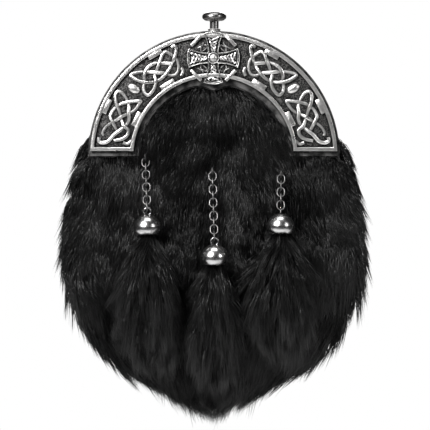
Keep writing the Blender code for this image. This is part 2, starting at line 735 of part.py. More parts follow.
def make_leather():
    """The flat back, the domed front and the strip between them."""
    back = plate([LEATHER_OUTLINE], 0.0, BACK_PANEL_FRONT)
    add_part("back_panel", back, black_leather)

    work = bmesh.new()
    shells = []
    for shift in (0.0, -LEATHER):
        rings, centre = panel_rings(shift)
        rows = [ring_of(work, ring) for ring in rings]
        for first, second in zip(rows, rows[1:]):
            join_rings(work, first, second)
        close_ring(work, rows[-1], centre)
        shells.append(rows[0])
    join_rings(work, shells[0], shells[1])
    add_part("front_panel", mesh_from(work), black_leather, 50)

    top = SKIRT_INNER_RADIUS * math.sin(math.radians(SKIRT_END_ANGLE)) - 2 * GAP
    route = [point for point in LEATHER_OUTLINE if point[1] < top - 2 * GAP]
    above = LEATHER_OUTLINE[LEATHER_OUTLINE.index(route[0]) - 1]
    share = (top - route[0][1]) / (above[1] - route[0][1])
    start = (route[0][0] + share * (above[0] - route[0][0]), top)
    route = [start] + route + [(-start[0], top)]
    sections = []
    for x, z in route:
        reach = math.hypot(x - CENTRE[0], z - CENTRE[1])
        inner = toward_centre((x, z), 1 - GUSSET_LEATHER / reach)
        front = panel_depth(z, 1.0) + LEATHER + GAP
        rear = BACK_PANEL_FRONT - GAP
        sections.append(((x, rear, z), (x, front, z), (inner[0], front, inner[1]), (inner[0], rear, inner[1])))
    work = bmesh.new()
    rows = [ring_of(work, section) for section in sections]
    for first, second in zip(rows, rows[1:]):
        join_rings(work, first, second)
    work.faces.new(rows[0])
    work.faces.new(rows[-1])
    add_part("gusset", mesh_from(work), black_leather, 50)


def fur_point(x, z, crest, reach):
    """A point of the fur's face: crests hang down and forward, valleys lie back."""
    freedom = smooth((beyond_cantle(x, z) - 0.4 * FUR_RISE) / FUR_RISE) * reach
    if crest:
        z -= TUFT_DROP * freedom
        return (x, fur_depth(x, z), z)
    return (x, fur_depth(x, z) + TUFT_DEPTH * freedom, z)


def make_fur_front():
    """The pelt with its locks: a face of crests and valleys over a rear that follows the leather."""
    work = bmesh.new()
    edge = []
    for i, (x, z) in enumerate(FUR_OUTLINE):
        away = math.hypot(x - CENTRE[0], z - CENTRE[1])
        loose = smooth((math.hypot(x, z) - CANTLE_RADIUS) / FUR_RISE) if z > 0 else 1.0
        tuft = EDGE_TUFT_LENGTH * (0.5 if i % 2 == 0 else -0.5) * loose
        px, pz = toward_centre((x, z), 1 + tuft / away)
        pz -= 0.5 * abs(tuft) if i % 2 == 0 else 0.0
        pz = max(pz, -BODY_DROP)
        edge.append((px, panel_depth(z, 1.0) - 2 * GAP, pz))
    front = [ring_of(work, edge)]
    for k in range(1, FUR_RINGS):
        share = 1 - k / FUR_RINGS
        ring = []
        for i, point in enumerate(FUR_OUTLINE):
            x, z = toward_centre(point, share)
            ring.append(fur_point(x, z, (i + k) % 2 == 0, min(1.0, 2.2 * share)))
        front.append(ring_of(work, ring))
    for k, (first, second) in enumerate(zip(front, front[1:])):
        join_rings(work, first, second, k % 2)
    close_ring(work, front[-1], (CENTRE[0], fur_depth(*CENTRE), CENTRE[1]))
    rings, centre = panel_rings(GAP)
    rear = [ring_of(work, ring) for ring in rings]
    join_rings(work, rear[0], front[0])
    for first, second in zip(rear, rear[1:]):
        join_rings(work, first, second)
    close_ring(work, rear[-1], centre)
    pelt = mesh_from(work)
    footprint = half_ring(CANTLE_RADIUS + GAP, CANTLE_INNER_RADIUS - GAP, 0, True)
    footprint = [(x, z if z > GAP else -GAP) for x, z in footprint]
    tools = [plate([footprint], PELT_FRONT_TOP, RIM_FRONT - FUR_PILE)]
    tools += [shank_hole(row) for row in CHAIN_ROWS]
    add_part("fur_front", boolean(pelt, tools, "DIFFERENCE"), black_fur, 180)


def make_back():
    """The plain rear arch of the frame and the two leather strap loops."""
    frame = plate([half_ring(CANTLE_RADIUS, CANTLE_RADIUS - BACK_FRAME_WIDTH, 0)],
                  GAP + BACK_FRAME_THICKNESS, GAP)
    add_part("back_frame", frame, polished_silver)
    low = GAP + LOOP_PASSAGE_DEPTH
    half = 0.5 * LOOP_LENGTH
    bend = half - LOOP_TAB
    outer = [(GAP + LOOP_LEATHER, half), (GAP + LOOP_LEATHER, bend + 0.6 * LOOP_LEATHER),
             (low + LOOP_LEATHER, bend - 1.2 * LOOP_LEATHER)]
    inner = [(GAP, half), (GAP, bend), (low, bend - 1.6 * LOOP_LEATHER)]
    profile = outer + [(y, -z) for y, z in reversed(outer)]
    profile += [(y, -z) for y, z in inner] + [(y, z) for y, z in reversed(inner)]
    for side, name in ((-1, "left"), (1, "right")):
        curve = bpy.data.curves.new("strap_loop", "CURVE")
        curve.dimensions = "2D"
        curve.fill_mode = "BOTH"
        curve.extrude = 0.5 * LOOP_WIDTH
        spline = curve.splines.new("POLY")
        spline.points.add(len(profile) - 1)
        for spot, (y, z) in zip(spline.points, profile):
            spot.co = (y, z, 0, 1)
        spline.use_cyclic_u = True
        sideways = Matrix(((0, 0, 1, side * LOOP_CENTRE_X), (1, 0, 0, 0), (0, 1, 0, LOOP_CENTRE_HEIGHT),
                           (0, 0, 0, 1)))
        add_part("strap_loop_" + name, curve_to_mesh(curve, sideways), black_leather)


def link_mesh(length, width):
    """A chain link or ring of round wire in the XZ plane, its long way up."""
    bpy.ops.mesh.primitive_torus_add(
        major_segments=LINK_SEGMENTS, minor_segments=WIRE_SIDES,
        major_radius=0.5 * (width - WIRE), minor_radius=0.5 * WIRE,
    )
    ring = bpy.context.object
    work = bmesh.new()
    work.from_mesh(ring.data)
    mesh = ring.data
    bpy.data.objects.remove(ring, do_unlink=True)
    bpy.data.meshes.remove(mesh)
    half_step = Matrix.Rotation(math.pi / LINK_SEGMENTS, 4, "Z")
    work.transform(Matrix.Rotation(math.pi / 2, 4, "X") @ half_step)
    for vert in work.verts:
        vert.co.z += math.copysign(0.5 * (length - width), vert.co.z)
    return mesh_from(work)


RING_REACH = 0.5 * LINK_WIDTH - WIRE
LINK_REACH = 0.5 * LINK_LENGTH - WIRE
CHAIN_STAND_OFF = 0.5 * LINK_WIDTH + 2 * GAP


def face_depth(name, x, z):
    """The depth at which a level line from the front meets the named piece, or the envelope beside it."""
    found, place, _, _ = bpy.data.objects[name].ray_cast(Vector((x, -BODY_DROP, z)), Vector((0, 1, 0)))
    return place.y if found else fur_depth(x, z)


def clear_depth(x, z):
    """The foremost depth of the fur front within a tuft's reach of a place, with the tassels' clearance."""
    near = (-TASSEL_REACH, 0.0, TASSEL_REACH)
    return min(face_depth("fur_front", x + dx, z + dz) for dx in near for dz in near) - TASSEL_CLEARANCE


def resting_depth(x, z, radius, half_height):
    """The depth of the middle of an oval body that lies on the fur with the tassels' clearance."""
    depths = []
    for across in (-0.8, -0.4, 0.0, 0.4, 0.8):
        for up in (-0.8, -0.4, 0.0, 0.4, 0.8):
            reach = radius * math.sqrt(max(0.0, 1 - across ** 2 - up ** 2))
            depths.append(face_depth("fur_front", x + across * radius, z + up * half_height) - reach)
    return min(depths) - TASSEL_CLEARANCE


def plan_chain(row):
    """Where a chain's eye, links and bail lie: their centres on one straight line, and the way down."""
    name, _, _, lean, links = row
    steps = [RING_REACH + LINK_REACH - GAP] + [2 * LINK_REACH - GAP] * (links - 1)
    steps += [RING_REACH + LINK_REACH - GAP]
    length = sum(steps)
    top = Vector((*eye_place(row), 0.0)).xzy
    top.y = face_depth("fur_front", top.x, top.z) - CHAIN_STAND_OFF
    bottom = top + Vector((lean * length, 0, -length))
    for _ in range(4):
        cap_z = bottom.z - 0.5 * LINK_WIDTH - 0.5 * CAP_HEIGHT
        bottom.y = resting_depth(bottom.x, cap_z, CAP_RADIUS, 0.85 * CAP_HEIGHT)
        for i in range(9):
            share = i / 10
            place = top.lerp(bottom, share)
            excess = place.y - face_depth("fur_front", place.x, place.z) + CHAIN_STAND_OFF
            top.y -= max(0.0, excess) / (1 - share)
        fall = length ** 2 - (bottom.x - top.x) ** 2 - (bottom.y - top.y) ** 2
        bottom.z = top.z - math.sqrt(fall)
    way = (bottom - top).normalized()
    centres = [top]
    for step in steps:
        centres.append(centres[-1] + way * step)
    return {"name": name, "centres": centres, "way": way, "links": links}


def chain_matrix(centre, way, face_on):
    """Places a link along the chain, face-on or edge-on from the front."""
    up = -way
    facing = Vector((0, 1, 0))
    facing = (facing - up * facing.dot(up)).normalized()
    if not face_on:
        facing = up.cross(facing)
    side = facing.cross(up)
    turn = Matrix((side, facing, up)).transposed().to_4x4()
    return Matrix.Translation(centre) @ turn


def shank(x, z, radius, rear, front):
    """A round bar that runs forward from one depth to another."""
    work = bmesh.new()
    bmesh.ops.create_cone(work, cap_ends=True, segments=8, radius1=radius, radius2=radius, depth=rear - front)
    upright = Matrix.Rotation(math.pi / 2, 4, "X")
    work.transform(Matrix.Translation((x, 0.5 * (rear + front), z)) @ upright)
    return mesh_from(work)


def eye_place(row):
    """Where a chain's eye sits, seen from the front."""
    return row[1] * CANTLE_RADIUS, row[2] * CANTLE_RADIUS


def shank_hole(row):
    """The hole in the pelt that an eye's shank passes through."""
    x, z = eye_place(row)
    rear = face_depth("front_panel", x, z) + LEATHER
    return shank(x, z, EYE_SHANK_RADIUS + GAP, rear, rear - BELLY_DEPTH - FUR_PILE)


def make_chain(chain):
    """The eye on its shank and the links that hang from it."""
    centre = chain["centres"][0]
    eye = link_mesh(LINK_WIDTH, LINK_WIDTH)
    eye.transform(chain_matrix(centre, chain["way"], False))
    rear = face_depth("front_panel", centre.x, centre.z) - 2 * GAP
    bar = shank(centre.x, centre.z, EYE_SHANK_RADIUS, rear, centre.y + RING_REACH + 0.3 * WIRE)
    add_part("chain_eye_" + chain["name"], boolean(bar, [eye], "UNION"), chain_silver, 80)
    for i in range(1, chain["links"] + 1):
        mesh = link_mesh(LINK_LENGTH, LINK_WIDTH)
        link = add_part("link_%s_%d" % (chain["name"], i), mesh, chain_silver, 80)
        link.matrix_local = chain_matrix(chain["centres"][i], chain["way"], i % 2 == 1)


def make_cap(chain):
    """The polished cap, an oblate cup open below, with its bail on top."""
    bail_centre = chain["centres"][-1]
    bail = link_mesh(LINK_WIDTH, LINK_WIDTH)
    bail.transform(chain_matrix(bail_centre, chain["way"], (chain["links"] + 1) % 2 == 1))
    top = bail_centre.z - 0.5 * LINK_WIDTH + WIRE
    low = top - CAP_HEIGHT
    inside = CAP_RADIUS - CAP_WALL
    profile = (
        (0.0, top),
        (0.36 * CAP_RADIUS, top - 0.06 * CAP_HEIGHT),
        (0.72 * CAP_RADIUS, top - 0.22 * CAP_HEIGHT),
        (0.95 * CAP_RADIUS, top - 0.45 * CAP_HEIGHT),
        (CAP_RADIUS, top - 0.62 * CAP_HEIGHT),
        (0.94 * CAP_RADIUS, top - 0.82 * CAP_HEIGHT),
        (0.78 * CAP_RADIUS, low),
        (0.78 * CAP_RADIUS - CAP_WALL, low),
        (0.90 * inside, top - 0.62 * CAP_HEIGHT),
        (0.60 * inside, top - 0.34 * CAP_HEIGHT),
        (0.0, top - 0.22 * CAP_HEIGHT),
    )
    work = bmesh.new()
    verts = [work.verts.new((r, 0, z)) for r, z in profile]
    edges = [work.edges.new(pair) for pair in zip(verts, verts[1:])]
    bmesh.ops.spin(work, geom=verts + edges, cent=(0, 0, 0), axis=(0, 0, 1), angle=2 * math.pi,
                   steps=CAP_SIDES, use_duplicate=False)
    bmesh.ops.remove_doubles(work, verts=work.verts[:], dist=1e-6)
    work.transform(Matrix.Translation((bail_centre.x, bail_centre.y, 0)))
    cap = boolean(mesh_from(work), [bail], "UNION")
    add_part("tassel_cap_" + chain["name"], cap, polished_silver, 50)
    return Vector((bail_centre.x, bail_centre.y, top))


def make_tassel(chain, size, cap_top):
    """A bunch of fur locks from a head inside the cap: ridges down its sides, a point for each lock."""
    _, length, half_width, half_thick, tip_shift = size
    inside = CAP_RADIUS - CAP_WALL
    head_top = cap_top.z - 0.36 * CAP_HEIGHT
    mouth = cap_top.z - CAP_HEIGHT
    neck = 0.78 * CAP_RADIUS - CAP_WALL - 2 * GAP
    sides = 2 * TASSEL_LOCKS
    work = bmesh.new()
    rings = []
    for radius, z in ((0.42 * inside, head_top), (neck, mouth + 0.25 * CAP_HEIGHT), (neck, mouth)):
        rings.append([(cap_top.x + radius * math.cos(math.tau * i / sides),
                       cap_top.y + radius * math.sin(math.tau * i / sides), z) for i in range(sides)])
    fall = mouth - length
    for k, (_, down, wide, thick) in enumerate(TASSEL_SECTIONS):
        z = mouth - GAP * 2 + (fall - mouth) * (down + 0.03)
        x_mid = cap_top.x + tip_shift * down ** 2
        back = clear_depth(x_mid, z)
        y_mid = min(back - half_thick * thick, cap_top.y + 0.5 * half_thick * down)
        ring = []
        for i in range(sides):
            turn = math.tau * (i + 0.25 * k) / sides
            ridge = 1 + (0.10 if i % 2 == 0 else -0.07) * min(1.0, 2.5 * down)
            drop = 0.06 * length * down * (1 if i % 2 == 0 else -1)
            x = x_mid + half_width * wide * ridge * math.cos(turn)
            y = y_mid + half_thick * thick * ridge * math.sin(turn)
            zz = z - drop
            ring.append((x, min(y, clear_depth(x, zz)), zz))
        rings.append(ring)
    rows = [ring_of(work, ring) for ring in rings]
    for first, second in zip(rows, rows[1:]):
        join_rings(work, first, second)
    close_ring(work, rows[0], (cap_top.x, cap_top.y, head_top + GAP))
    x_tip = cap_top.x + tip_shift
    tip_y = min(clear_depth(x_tip, fall) - 0.2 * half_thick, cap_top.y)
    close_ring(work, rows[-1], (x_tip, tip_y, fall))
    add_part("tassel_fur_" + chain["name"], mesh_from(work), black_fur, 180)


make_cantle()
make_knob()
make_back()
make_leather()
bpy.context.view_layer.update()
make_fur_front()
bpy.context.view_layer.update()
for row, size in zip(CHAIN_ROWS, TASSEL_SIZES):
    chain = plan_chain(row)
    make_chain(chain)
    make_tassel(chain, size, make_cap(chain))
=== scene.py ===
"""The looks of a dress sporran pouch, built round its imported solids.

Metres, +Z up, front towards -Y. The sections go from the silver (cantle, knob, chains and caps, rear frame)
to the leather and its stitches, the fur, the tassels, and the view last.
"""

import json
import math

import bpy
import numpy as np
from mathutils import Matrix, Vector

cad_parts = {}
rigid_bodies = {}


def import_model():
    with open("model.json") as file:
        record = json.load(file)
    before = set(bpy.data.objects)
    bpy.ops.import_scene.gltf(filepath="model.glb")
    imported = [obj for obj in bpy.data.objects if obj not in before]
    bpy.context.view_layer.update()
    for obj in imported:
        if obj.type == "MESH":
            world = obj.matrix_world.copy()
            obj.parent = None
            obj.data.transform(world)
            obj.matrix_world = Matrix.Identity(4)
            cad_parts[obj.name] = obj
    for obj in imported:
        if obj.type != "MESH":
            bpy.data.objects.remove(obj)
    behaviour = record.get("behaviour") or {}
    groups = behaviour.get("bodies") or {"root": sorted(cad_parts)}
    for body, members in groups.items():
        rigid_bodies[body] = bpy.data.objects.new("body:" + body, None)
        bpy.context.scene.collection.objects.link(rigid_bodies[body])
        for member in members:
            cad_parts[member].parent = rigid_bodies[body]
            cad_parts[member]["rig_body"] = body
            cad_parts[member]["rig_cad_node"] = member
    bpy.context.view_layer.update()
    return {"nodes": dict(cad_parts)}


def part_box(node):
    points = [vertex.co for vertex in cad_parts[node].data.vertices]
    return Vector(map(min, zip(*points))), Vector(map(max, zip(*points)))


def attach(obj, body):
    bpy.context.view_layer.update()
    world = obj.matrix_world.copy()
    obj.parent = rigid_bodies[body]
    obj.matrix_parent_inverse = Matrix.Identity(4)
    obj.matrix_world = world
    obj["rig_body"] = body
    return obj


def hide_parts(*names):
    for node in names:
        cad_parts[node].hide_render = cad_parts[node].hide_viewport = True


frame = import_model()
nodes = frame["nodes"]
MM = 0.001


# Cantle
# Cast white metal, blackened in its corners and rubbed bright on all that stands up. It is built in layers
# from back to front: skirt, flange, two tiers, rims, cross, ovals and woven strands, and a collar on top.

ARCH_BASE = -24.0 * MM
FLANGE_REAR = -16.0 * MM
FLANGE_FRONT = -17.6 * MM
MID_FRONT = -18.8 * MM
RECESS_FLOOR = -20.4 * MM
RIM_FRONT = -22.2 * MM
OUTER_RADIUS = 78.75 * MM
INNER_RADIUS = 45.3 * MM
CUSP_DROP = 4.5 * MM
CUSP_HALF_WIDTH = 12.5 * MM
TIER_STEP = 0.8 * MM
TOP_TIER_OUTER = 77.15 * MM
TOP_TIER_INNER = 50.0 * MM
TOP_TIER_FOOT = 3.9 * MM
RIM_WIDTH = 2.4 * MM
CROSS_MIDDLE = 61.7 * MM
CROSS_REACH = 16.4 * MM
CROSS_WAIST = 3.3 * MM
CROSS_END = 6.1 * MM
MOUTH_MIDDLE = -6.7 * MM
STRAND_RADIUS = 1.15 * MM
STRAND_FLATNESS = 0.8
WEAVE = 0.42 * MM

# Strands of the two panels on one side, (x, z) in millimetres over the cantle's base line
UPPER_STRAND = (
    (26.1, 68.4), (24.4, 69.3), (23.2, 68.3), (23.4, 64.9), (24.6, 61.2), (26.1, 57.7), (27.8, 54.2),
    (30.5, 50.8), (33.9, 48.1), (38.3, 46.7), (42.6, 46.7), (47.0, 47.8), (50.4, 49.8), (51.5, 51.0),
    (50.2, 52.2), (45.3, 53.2), (40.0, 53.1), (34.6, 52.7), (30.5, 52.4), (28.4, 51.6), (26.2, 50.9),
    (23.5, 51.6), (22.0, 54.2), (21.9, 57.4), (22.8, 60.4), (24.6, 62.5), (26.5, 64.1), (29.5, 65.6),
    (31.6, 64.1), (33.0, 60.4), (34.7, 56.1), (35.8, 53.1), (36.5, 50.4), (35.8, 47.7), (37.0, 42.6),
    (40.5, 38.8), (43.2, 40.7), (43.6, 44.2), (42.9, 46.9), (43.2, 50.4), (42.1, 54.2), (39.4, 57.1),
    (35.7, 58.7), (31.9, 58.7), (25.4, 58.2),
)
UPPER_HOOK = ((20.0, 55.8), (19.0, 53.6), (20.0, 50.7))
LOWER_CURL = ((56.4, 9.2), (53.7, 8.3), (51.0, 10.3))
LOWER_LONG_STRAND = (
    (62.0, 10.3), (56.6, 11.6), (53.5, 14.1), (53.3, 17.3), (55.6, 19.2), (57.2, 23.0), (59.1, 29.7),
    (60.4, 32.6), (61.0, 35.9), (61.0, 39.1), (59.6, 41.0), (57.2, 40.3), (55.0, 37.5), (53.4, 34.0),
    (52.8, 31.0), (53.1, 27.3), (52.8, 24.0), (54.2, 20.5), (58.5, 16.8), (62.0, 14.1), (65.8, 10.0),
    (69.3, 9.1), (71.7, 10.3), (71.4, 12.5),
)
LOWER_SHORT_STRAND = (
    (59.6, 15.4), (61.7, 19.5), (63.2, 22.4), (64.3, 25.6), (62.3, 29.7), (58.8, 32.5), (55.6, 33.8),
    (51.3, 34.6), (45.9, 35.0), (45.9, 34.0), (48.6, 30.0), (51.8, 27.8), (55.3, 26.3), (57.7, 25.1),
    (60.1, 23.5), (64.2, 21.2), (67.4, 18.7), (69.3, 15.2), (68.7, 13.5),
)


def new_material(name):
    """A material with node textures, its tree and its shader."""
    material = bpy.data.materials.new(name)
    material.use_nodes = True
    tree = material.node_tree
    return material, tree, tree.nodes["Principled BSDF"]


def add_node(tree, kind, inputs=None, **settings):
    """A shader node with its settings, its inputs given as values or linked from sockets."""
    node = tree.nodes.new("ShaderNode" + kind)
    for key, value in settings.items():
        setattr(node, key, value)
    for key, value in (inputs or {}).items():
        if isinstance(value, bpy.types.NodeSocket):
            tree.links.new(value, node.inputs[key])
        else:
            node.inputs[key].default_value = value
    return node


def ramp(tree, value, stops):
    """A colour ramp: stops are (place, colour)."""
    node = add_node(tree, "ValToRGB", {"Fac": value})
    elements = node.color_ramp.elements
    while len(elements) < len(stops):
        elements.new(0.5)
    for element, (place, colour) in zip(elements, stops):
        element.position = place
        element.color = (*colour, 1)
    return node.outputs["Color"]


def span(tree, value, low, high, to_low=0.0, to_high=1.0):
    """A value carried from one range to another and held at its ends."""
    inputs = {"Value": value, "From Min": low, "From Max": high, "To Min": to_low, "To Max": to_high}
    return add_node(tree, "MapRange", inputs).outputs["Result"]


def mixed(tree, share, first, second, blend_type="MIX"):
    """Two colours mixed by a share."""
    inputs = {"Fac": share, "Color1": first, "Color2": second}
    return add_node(tree, "MixRGB", inputs, blend_type=blend_type).outputs[0]


def relief_finish():
    """Cast silver: black in the corners, grey and stippled on the ground, bright where it is rubbed."""
    material, tree, shader = new_material("relief_silver")
    place = add_node(tree, "TexCoord").outputs["Object"]
    depth = add_node(tree, "SeparateXYZ", {"Vector": place}).outputs["Y"]
    raised = span(tree, depth, RECESS_FLOOR - 0.35 * MM, RECESS_FLOOR - 1.25 * MM)
    floor = span(tree, depth, RECESS_FLOOR + 0.4 * MM, RECESS_FLOOR + 0.8 * MM, 1.0, 0.0)
    hollow = add_node(tree, "AmbientOcclusion", {"Distance": 2.0 * MM}, samples=12, only_local=True)
    crevice = span(tree, hollow.outputs["AO"], 0.40, 0.95)
    cloud = add_node(tree, "TexNoise", {"Vector": place, "Scale": 200.0, "Detail": 2.0}).outputs["Fac"]
    fine = add_node(tree, "TexNoise", {"Vector": place, "Scale": 1500.0, "Detail": 2.0})
    stipple = fine.outputs["Fac"]
    ground = ramp(tree, stipple, ((0.42, (0.010, 0.010, 0.010)), (0.66, (0.13, 0.127, 0.125))))
    band = ramp(tree, cloud, ((0.36, (0.025, 0.025, 0.025)), (0.68, (0.17, 0.167, 0.165))))
    low = mixed(tree, floor, band, ground)
    rubbed = ramp(tree, cloud, (
        (0.28, (0.46, 0.455, 0.45)), (0.46, (0.64, 0.63, 0.62)), (0.7, (0.80, 0.79, 0.78)),
    ))
    behind = span(tree, depth, FLANGE_REAR - 0.3 * MM, FLANGE_REAR + 0.1 * MM)
    metal = mixed(tree, behind, mixed(tree, raised, low, rubbed), (0.42, 0.415, 0.41, 1))
    tree.links.new(mixed(tree, crevice, (0.006, 0.006, 0.006, 1), metal), shader.inputs["Base Color"])
    shader.inputs["Metallic"].default_value = 1.0
    smear = span(tree, cloud, 0.3, 0.7, 0.38, 0.26)
    rough = mixed(tree, raised, (0.55, 0.55, 0.55, 1), smear)
    tree.links.new(rough, shader.inputs["Roughness"])
    pits = add_node(tree, "Math", {0: stipple, 1: floor}, operation="MULTIPLY").outputs[0]
    dents = add_node(tree, "Math", {0: cloud, 1: 0.03}, operation="MULTIPLY").outputs[0]
    height = add_node(tree, "Math", {0: dents, 1: pits}, operation="ADD").outputs[0]
    bump = add_node(tree, "Bump", {"Height": height, "Strength": 0.55, "Distance": 0.3 * MM})
    tree.links.new(bump.outputs["Normal"], shader.inputs["Normal"])
    return material


def polished_finish(name, colour, roughness):
    """Polished silver with faint smears and a little tarnish in its joints."""
    material, tree, shader = new_material(name)
    place = add_node(tree, "TexCoord").outputs["Object"]
    cloud = add_node(tree, "TexNoise", {"Vector": place, "Scale": 180.0, "Detail": 4.0}).outputs["Fac"]
    hollow = add_node(tree, "AmbientOcclusion", {"Distance": 0.8 * MM}, samples=8, only_local=True)
    dark = tuple(0.5 * part for part in colour)
    tint = ramp(tree, cloud, ((0.28, dark), (0.48, colour), (1.0, colour)))
    joint = mixed(tree, span(tree, hollow.outputs["AO"], 0.35, 0.8), (0.02, 0.02, 0.02, 1), tint)
    tree.links.new(joint, shader.inputs["Base Color"])
    shader.inputs["Metallic"].default_value = 1.0
    tree.links.new(span(tree, cloud, 0.3, 0.7, roughness + 0.08, roughness), shader.inputs["Roughness"])
    scratch = add_node(tree, "TexNoise", {"Vector": place, "Scale": 900.0, "Detail": 2.0}).outputs["Fac"]
    bump = add_node(tree, "Bump", {"Height": scratch, "Strength": 0.05, "Distance": 0.1 * MM})
    tree.links.new(bump.outputs["Normal"], shader.inputs["Normal"])
    return material


def dress(node_names, material):
    """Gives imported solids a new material."""
    for node_name in node_names:
        mesh = nodes[node_name].data
        mesh.materials.clear()
        mesh.materials.append(material)


def grid_body(name, rows, closed):
    """A mesh from rows of points, each row a closed ring. Closed joins the last row to the first."""
    rows = np.asarray(rows, float)
    count, size = rows.shape[:2]
    faces = []
    for i in range(count if closed else count - 1):
        for j in range(size):
            a, b = i * size + j, i * size + (j + 1) % size
            c, d = (i + 1) % count * size + (j + 1) % size, (i + 1) % count * size + j
            faces.append((a, b, c, d))
    if not closed:
        faces += [tuple(range(size)), tuple(reversed(range((count - 1) * size, count * size)))]
    mesh = bpy.data.meshes.new(name)
    mesh.from_pydata(rows.reshape(-1, 3).tolist(), [], faces)
    obj = bpy.data.objects.new(name, mesh)
    bpy.context.collection.objects.link(obj)
    return obj


def arch(radius, foot, count=96, cusp=0.0):
    """Points (x, z) of an arch, right foot to left foot, with a pointed drop inside its crown."""
    end = math.asin(foot / radius)
    points = []
    for i in range(count + 1):
        angle = end + (math.pi - 2 * end) * i / count
        x, z = radius * math.cos(angle), radius * math.sin(angle)
        points.append((x, z - cusp * max(0.0, 1 - abs(x) / CUSP_HALF_WIDTH) ** 1.4 * (z > 0)))
    return points


def band(name, edge, other, section, closed=False):
    """A bar between two outlines. Section rows: which outline, how far in from it, and the depth."""
    rows = []
    for (ax, az), (bx, bz) in zip(edge, other):
        width = max(math.hypot(bx - ax, bz - az), 1e-9)
        ring = []
        for side, inset, depth in section:
            share = inset / width if side == 0 else 1 - inset / width
            ring.append((ax + share * (bx - ax), depth, az + share * (bz - az) + ARCH_BASE))
        rows.append(ring)
    return grid_body(name, rows, closed)


def rounded_section(rear, front, bevel):
    """A bar's section, its two front edges rounded."""
    turns = [math.radians(a) for a in (0, 22.5, 45, 67.5, 90)]
    corner = [(bevel * (1 - math.cos(a)), front + bevel * (1 - math.sin(a))) for a in turns]
    first = [(0, inset, depth) for inset, depth in corner]
    second = [(1, inset, depth) for inset, depth in reversed(corner)]
    return [(0, 0.0, rear)] + first + second + [(1, 0.0, rear)]


def rounded_plate(name, size, place, turn, bevel):
    """A small block with rounded edges: size along x, y and z, turned in the front view."""
    bpy.ops.mesh.primitive_cube_add(size=1, location=place, rotation=(0, -turn, 0), scale=size)
    block = bpy.context.object
    block.name = name
    bpy.ops.object.transform_apply(location=True, rotation=True, scale=True)
    edge = block.modifiers.new("edge", "BEVEL")
    edge.width = bevel
    edge.segments = 2
    bpy.ops.object.modifier_apply(modifier=edge.name)
    return block


def rounded_dome(name, size, place, turn):
    """Half an ellipsoid's height standing on the relief: size is its three half axes."""
    bpy.ops.mesh.primitive_uv_sphere_add(segments=32, ring_count=20, radius=1, location=place,
                                         rotation=(0, -turn, 0), scale=size)
    bpy.context.object.name = name
    bpy.ops.object.transform_apply(location=True, rotation=True, scale=True)
    return bpy.context.object


def smooth_path(points, steps):
    """A Catmull-Rom path through the points."""
    spots = np.asarray(points, float)
    padded = np.vstack([2 * spots[0] - spots[1], spots, 2 * spots[-1] - spots[-2]])
    path = []
    for i in range(len(spots) - 1):
        a, b, c, d = padded[i:i + 4]
        for k in range(steps):
            t = k / steps
            path.append(0.5 * (2 * b + (c - a) * t + (2 * a - 5 * b + 4 * c - d) * t ** 2
                               + (3 * b - a - 3 * c + d) * t ** 3))
    path.append(spots[-1])
    return np.array(path)


def crossing_places(paths):
    """Where the paths cross each other or themselves, as [path, place, path, place]."""
    found = []
    for i, first in enumerate(paths):
        for j in range(i, len(paths)):
            second = paths[j]
            for m in range(len(first) - 1):
                n = np.arange(m + 2 if i == j else 0, len(second) - 1)
                if len(n) == 0:
                    continue
                a, ab = first[m], first[m + 1] - first[m]
                c, cd = second[n], second[n + 1] - second[n]
                turn = ab[0] * cd[:, 1] - ab[1] * cd[:, 0]
                turn = np.where(np.abs(turn) < 1e-12, 1e-12, turn)
                s = ((c[:, 0] - a[0]) * cd[:, 1] - (c[:, 1] - a[1]) * cd[:, 0]) / turn
                t = ((c[:, 0] - a[0]) * ab[1] - (c[:, 1] - a[1]) * ab[0]) / turn
                for k in np.flatnonzero((s >= 0) & (s < 1) & (t >= 0) & (t < 1)):
                    found.append([i, m + s[k], j, n[k] + t[k]])
    return found


def woven_heights(paths):
    """How far each point of each path lies over (1) or under (-1) the middle of the weave."""
    visits = []
    for number, (i, s, j, t) in enumerate(crossing_places(paths)):
        visits += [(i, s, number), (j, t, number)]
    state = {}
    marks = [[] for _ in paths]
    for i, place, number in sorted(visits):
        last = marks[i][-1][1] if marks[i] else -1
        level = -state[number] if number in state else -last
        state[number] = level
        marks[i].append((place, level))
    heights = []
    for path, spots in zip(paths, marks):
        if not spots:
            heights.append(np.zeros(len(path)))
            continue
        places = np.array([spot[0] for spot in spots])
        levels = np.array([spot[1] for spot in spots], float)
        along = np.arange(len(path))
        after = np.clip(np.searchsorted(places, along), 1, max(len(places) - 1, 1))
        if len(places) == 1:
            heights.append(np.full(len(path), levels[0]))
            continue
        gap = np.maximum(places[after] - places[after - 1], 1e-6)
        share = np.clip((along - places[after - 1]) / gap, 0, 1)
        share = 0.5 - 0.5 * np.cos(np.pi * share)
        heights.append(levels[after - 1] * (1 - share) + levels[after] * share)
    return heights


def tube(name, path, heights, radius, flatness, lift, weave):
    """A strand along a path (x, z): a curve with a round bevel, flattened towards the recess floor."""
    curve = bpy.data.curves.new(name, "CURVE")
    curve.dimensions = "3D"
    curve.bevel_depth = radius
    curve.bevel_resolution = 2
    curve.use_fill_caps = True
    spline = curve.splines.new("POLY")
    spline.points.add(len(path) - 1)
    for spot, (x, z), height in zip(spline.points, path, heights):
        spot.co = (x, -(lift + weave * height) / flatness, z, 1)
    strand = bpy.data.objects.new(name, curve)
    bpy.context.collection.objects.link(strand)
    strand.location = (0, RECESS_FLOOR, ARCH_BASE)
    strand.scale = (1, flatness, 1)
    bpy.ops.object.select_all(action="DESELECT")
    strand.select_set(True)
    bpy.context.view_layer.objects.active = strand
    bpy.ops.object.convert(target="MESH")
    bpy.ops.object.transform_apply(location=True, rotation=True, scale=True)
    return bpy.context.object


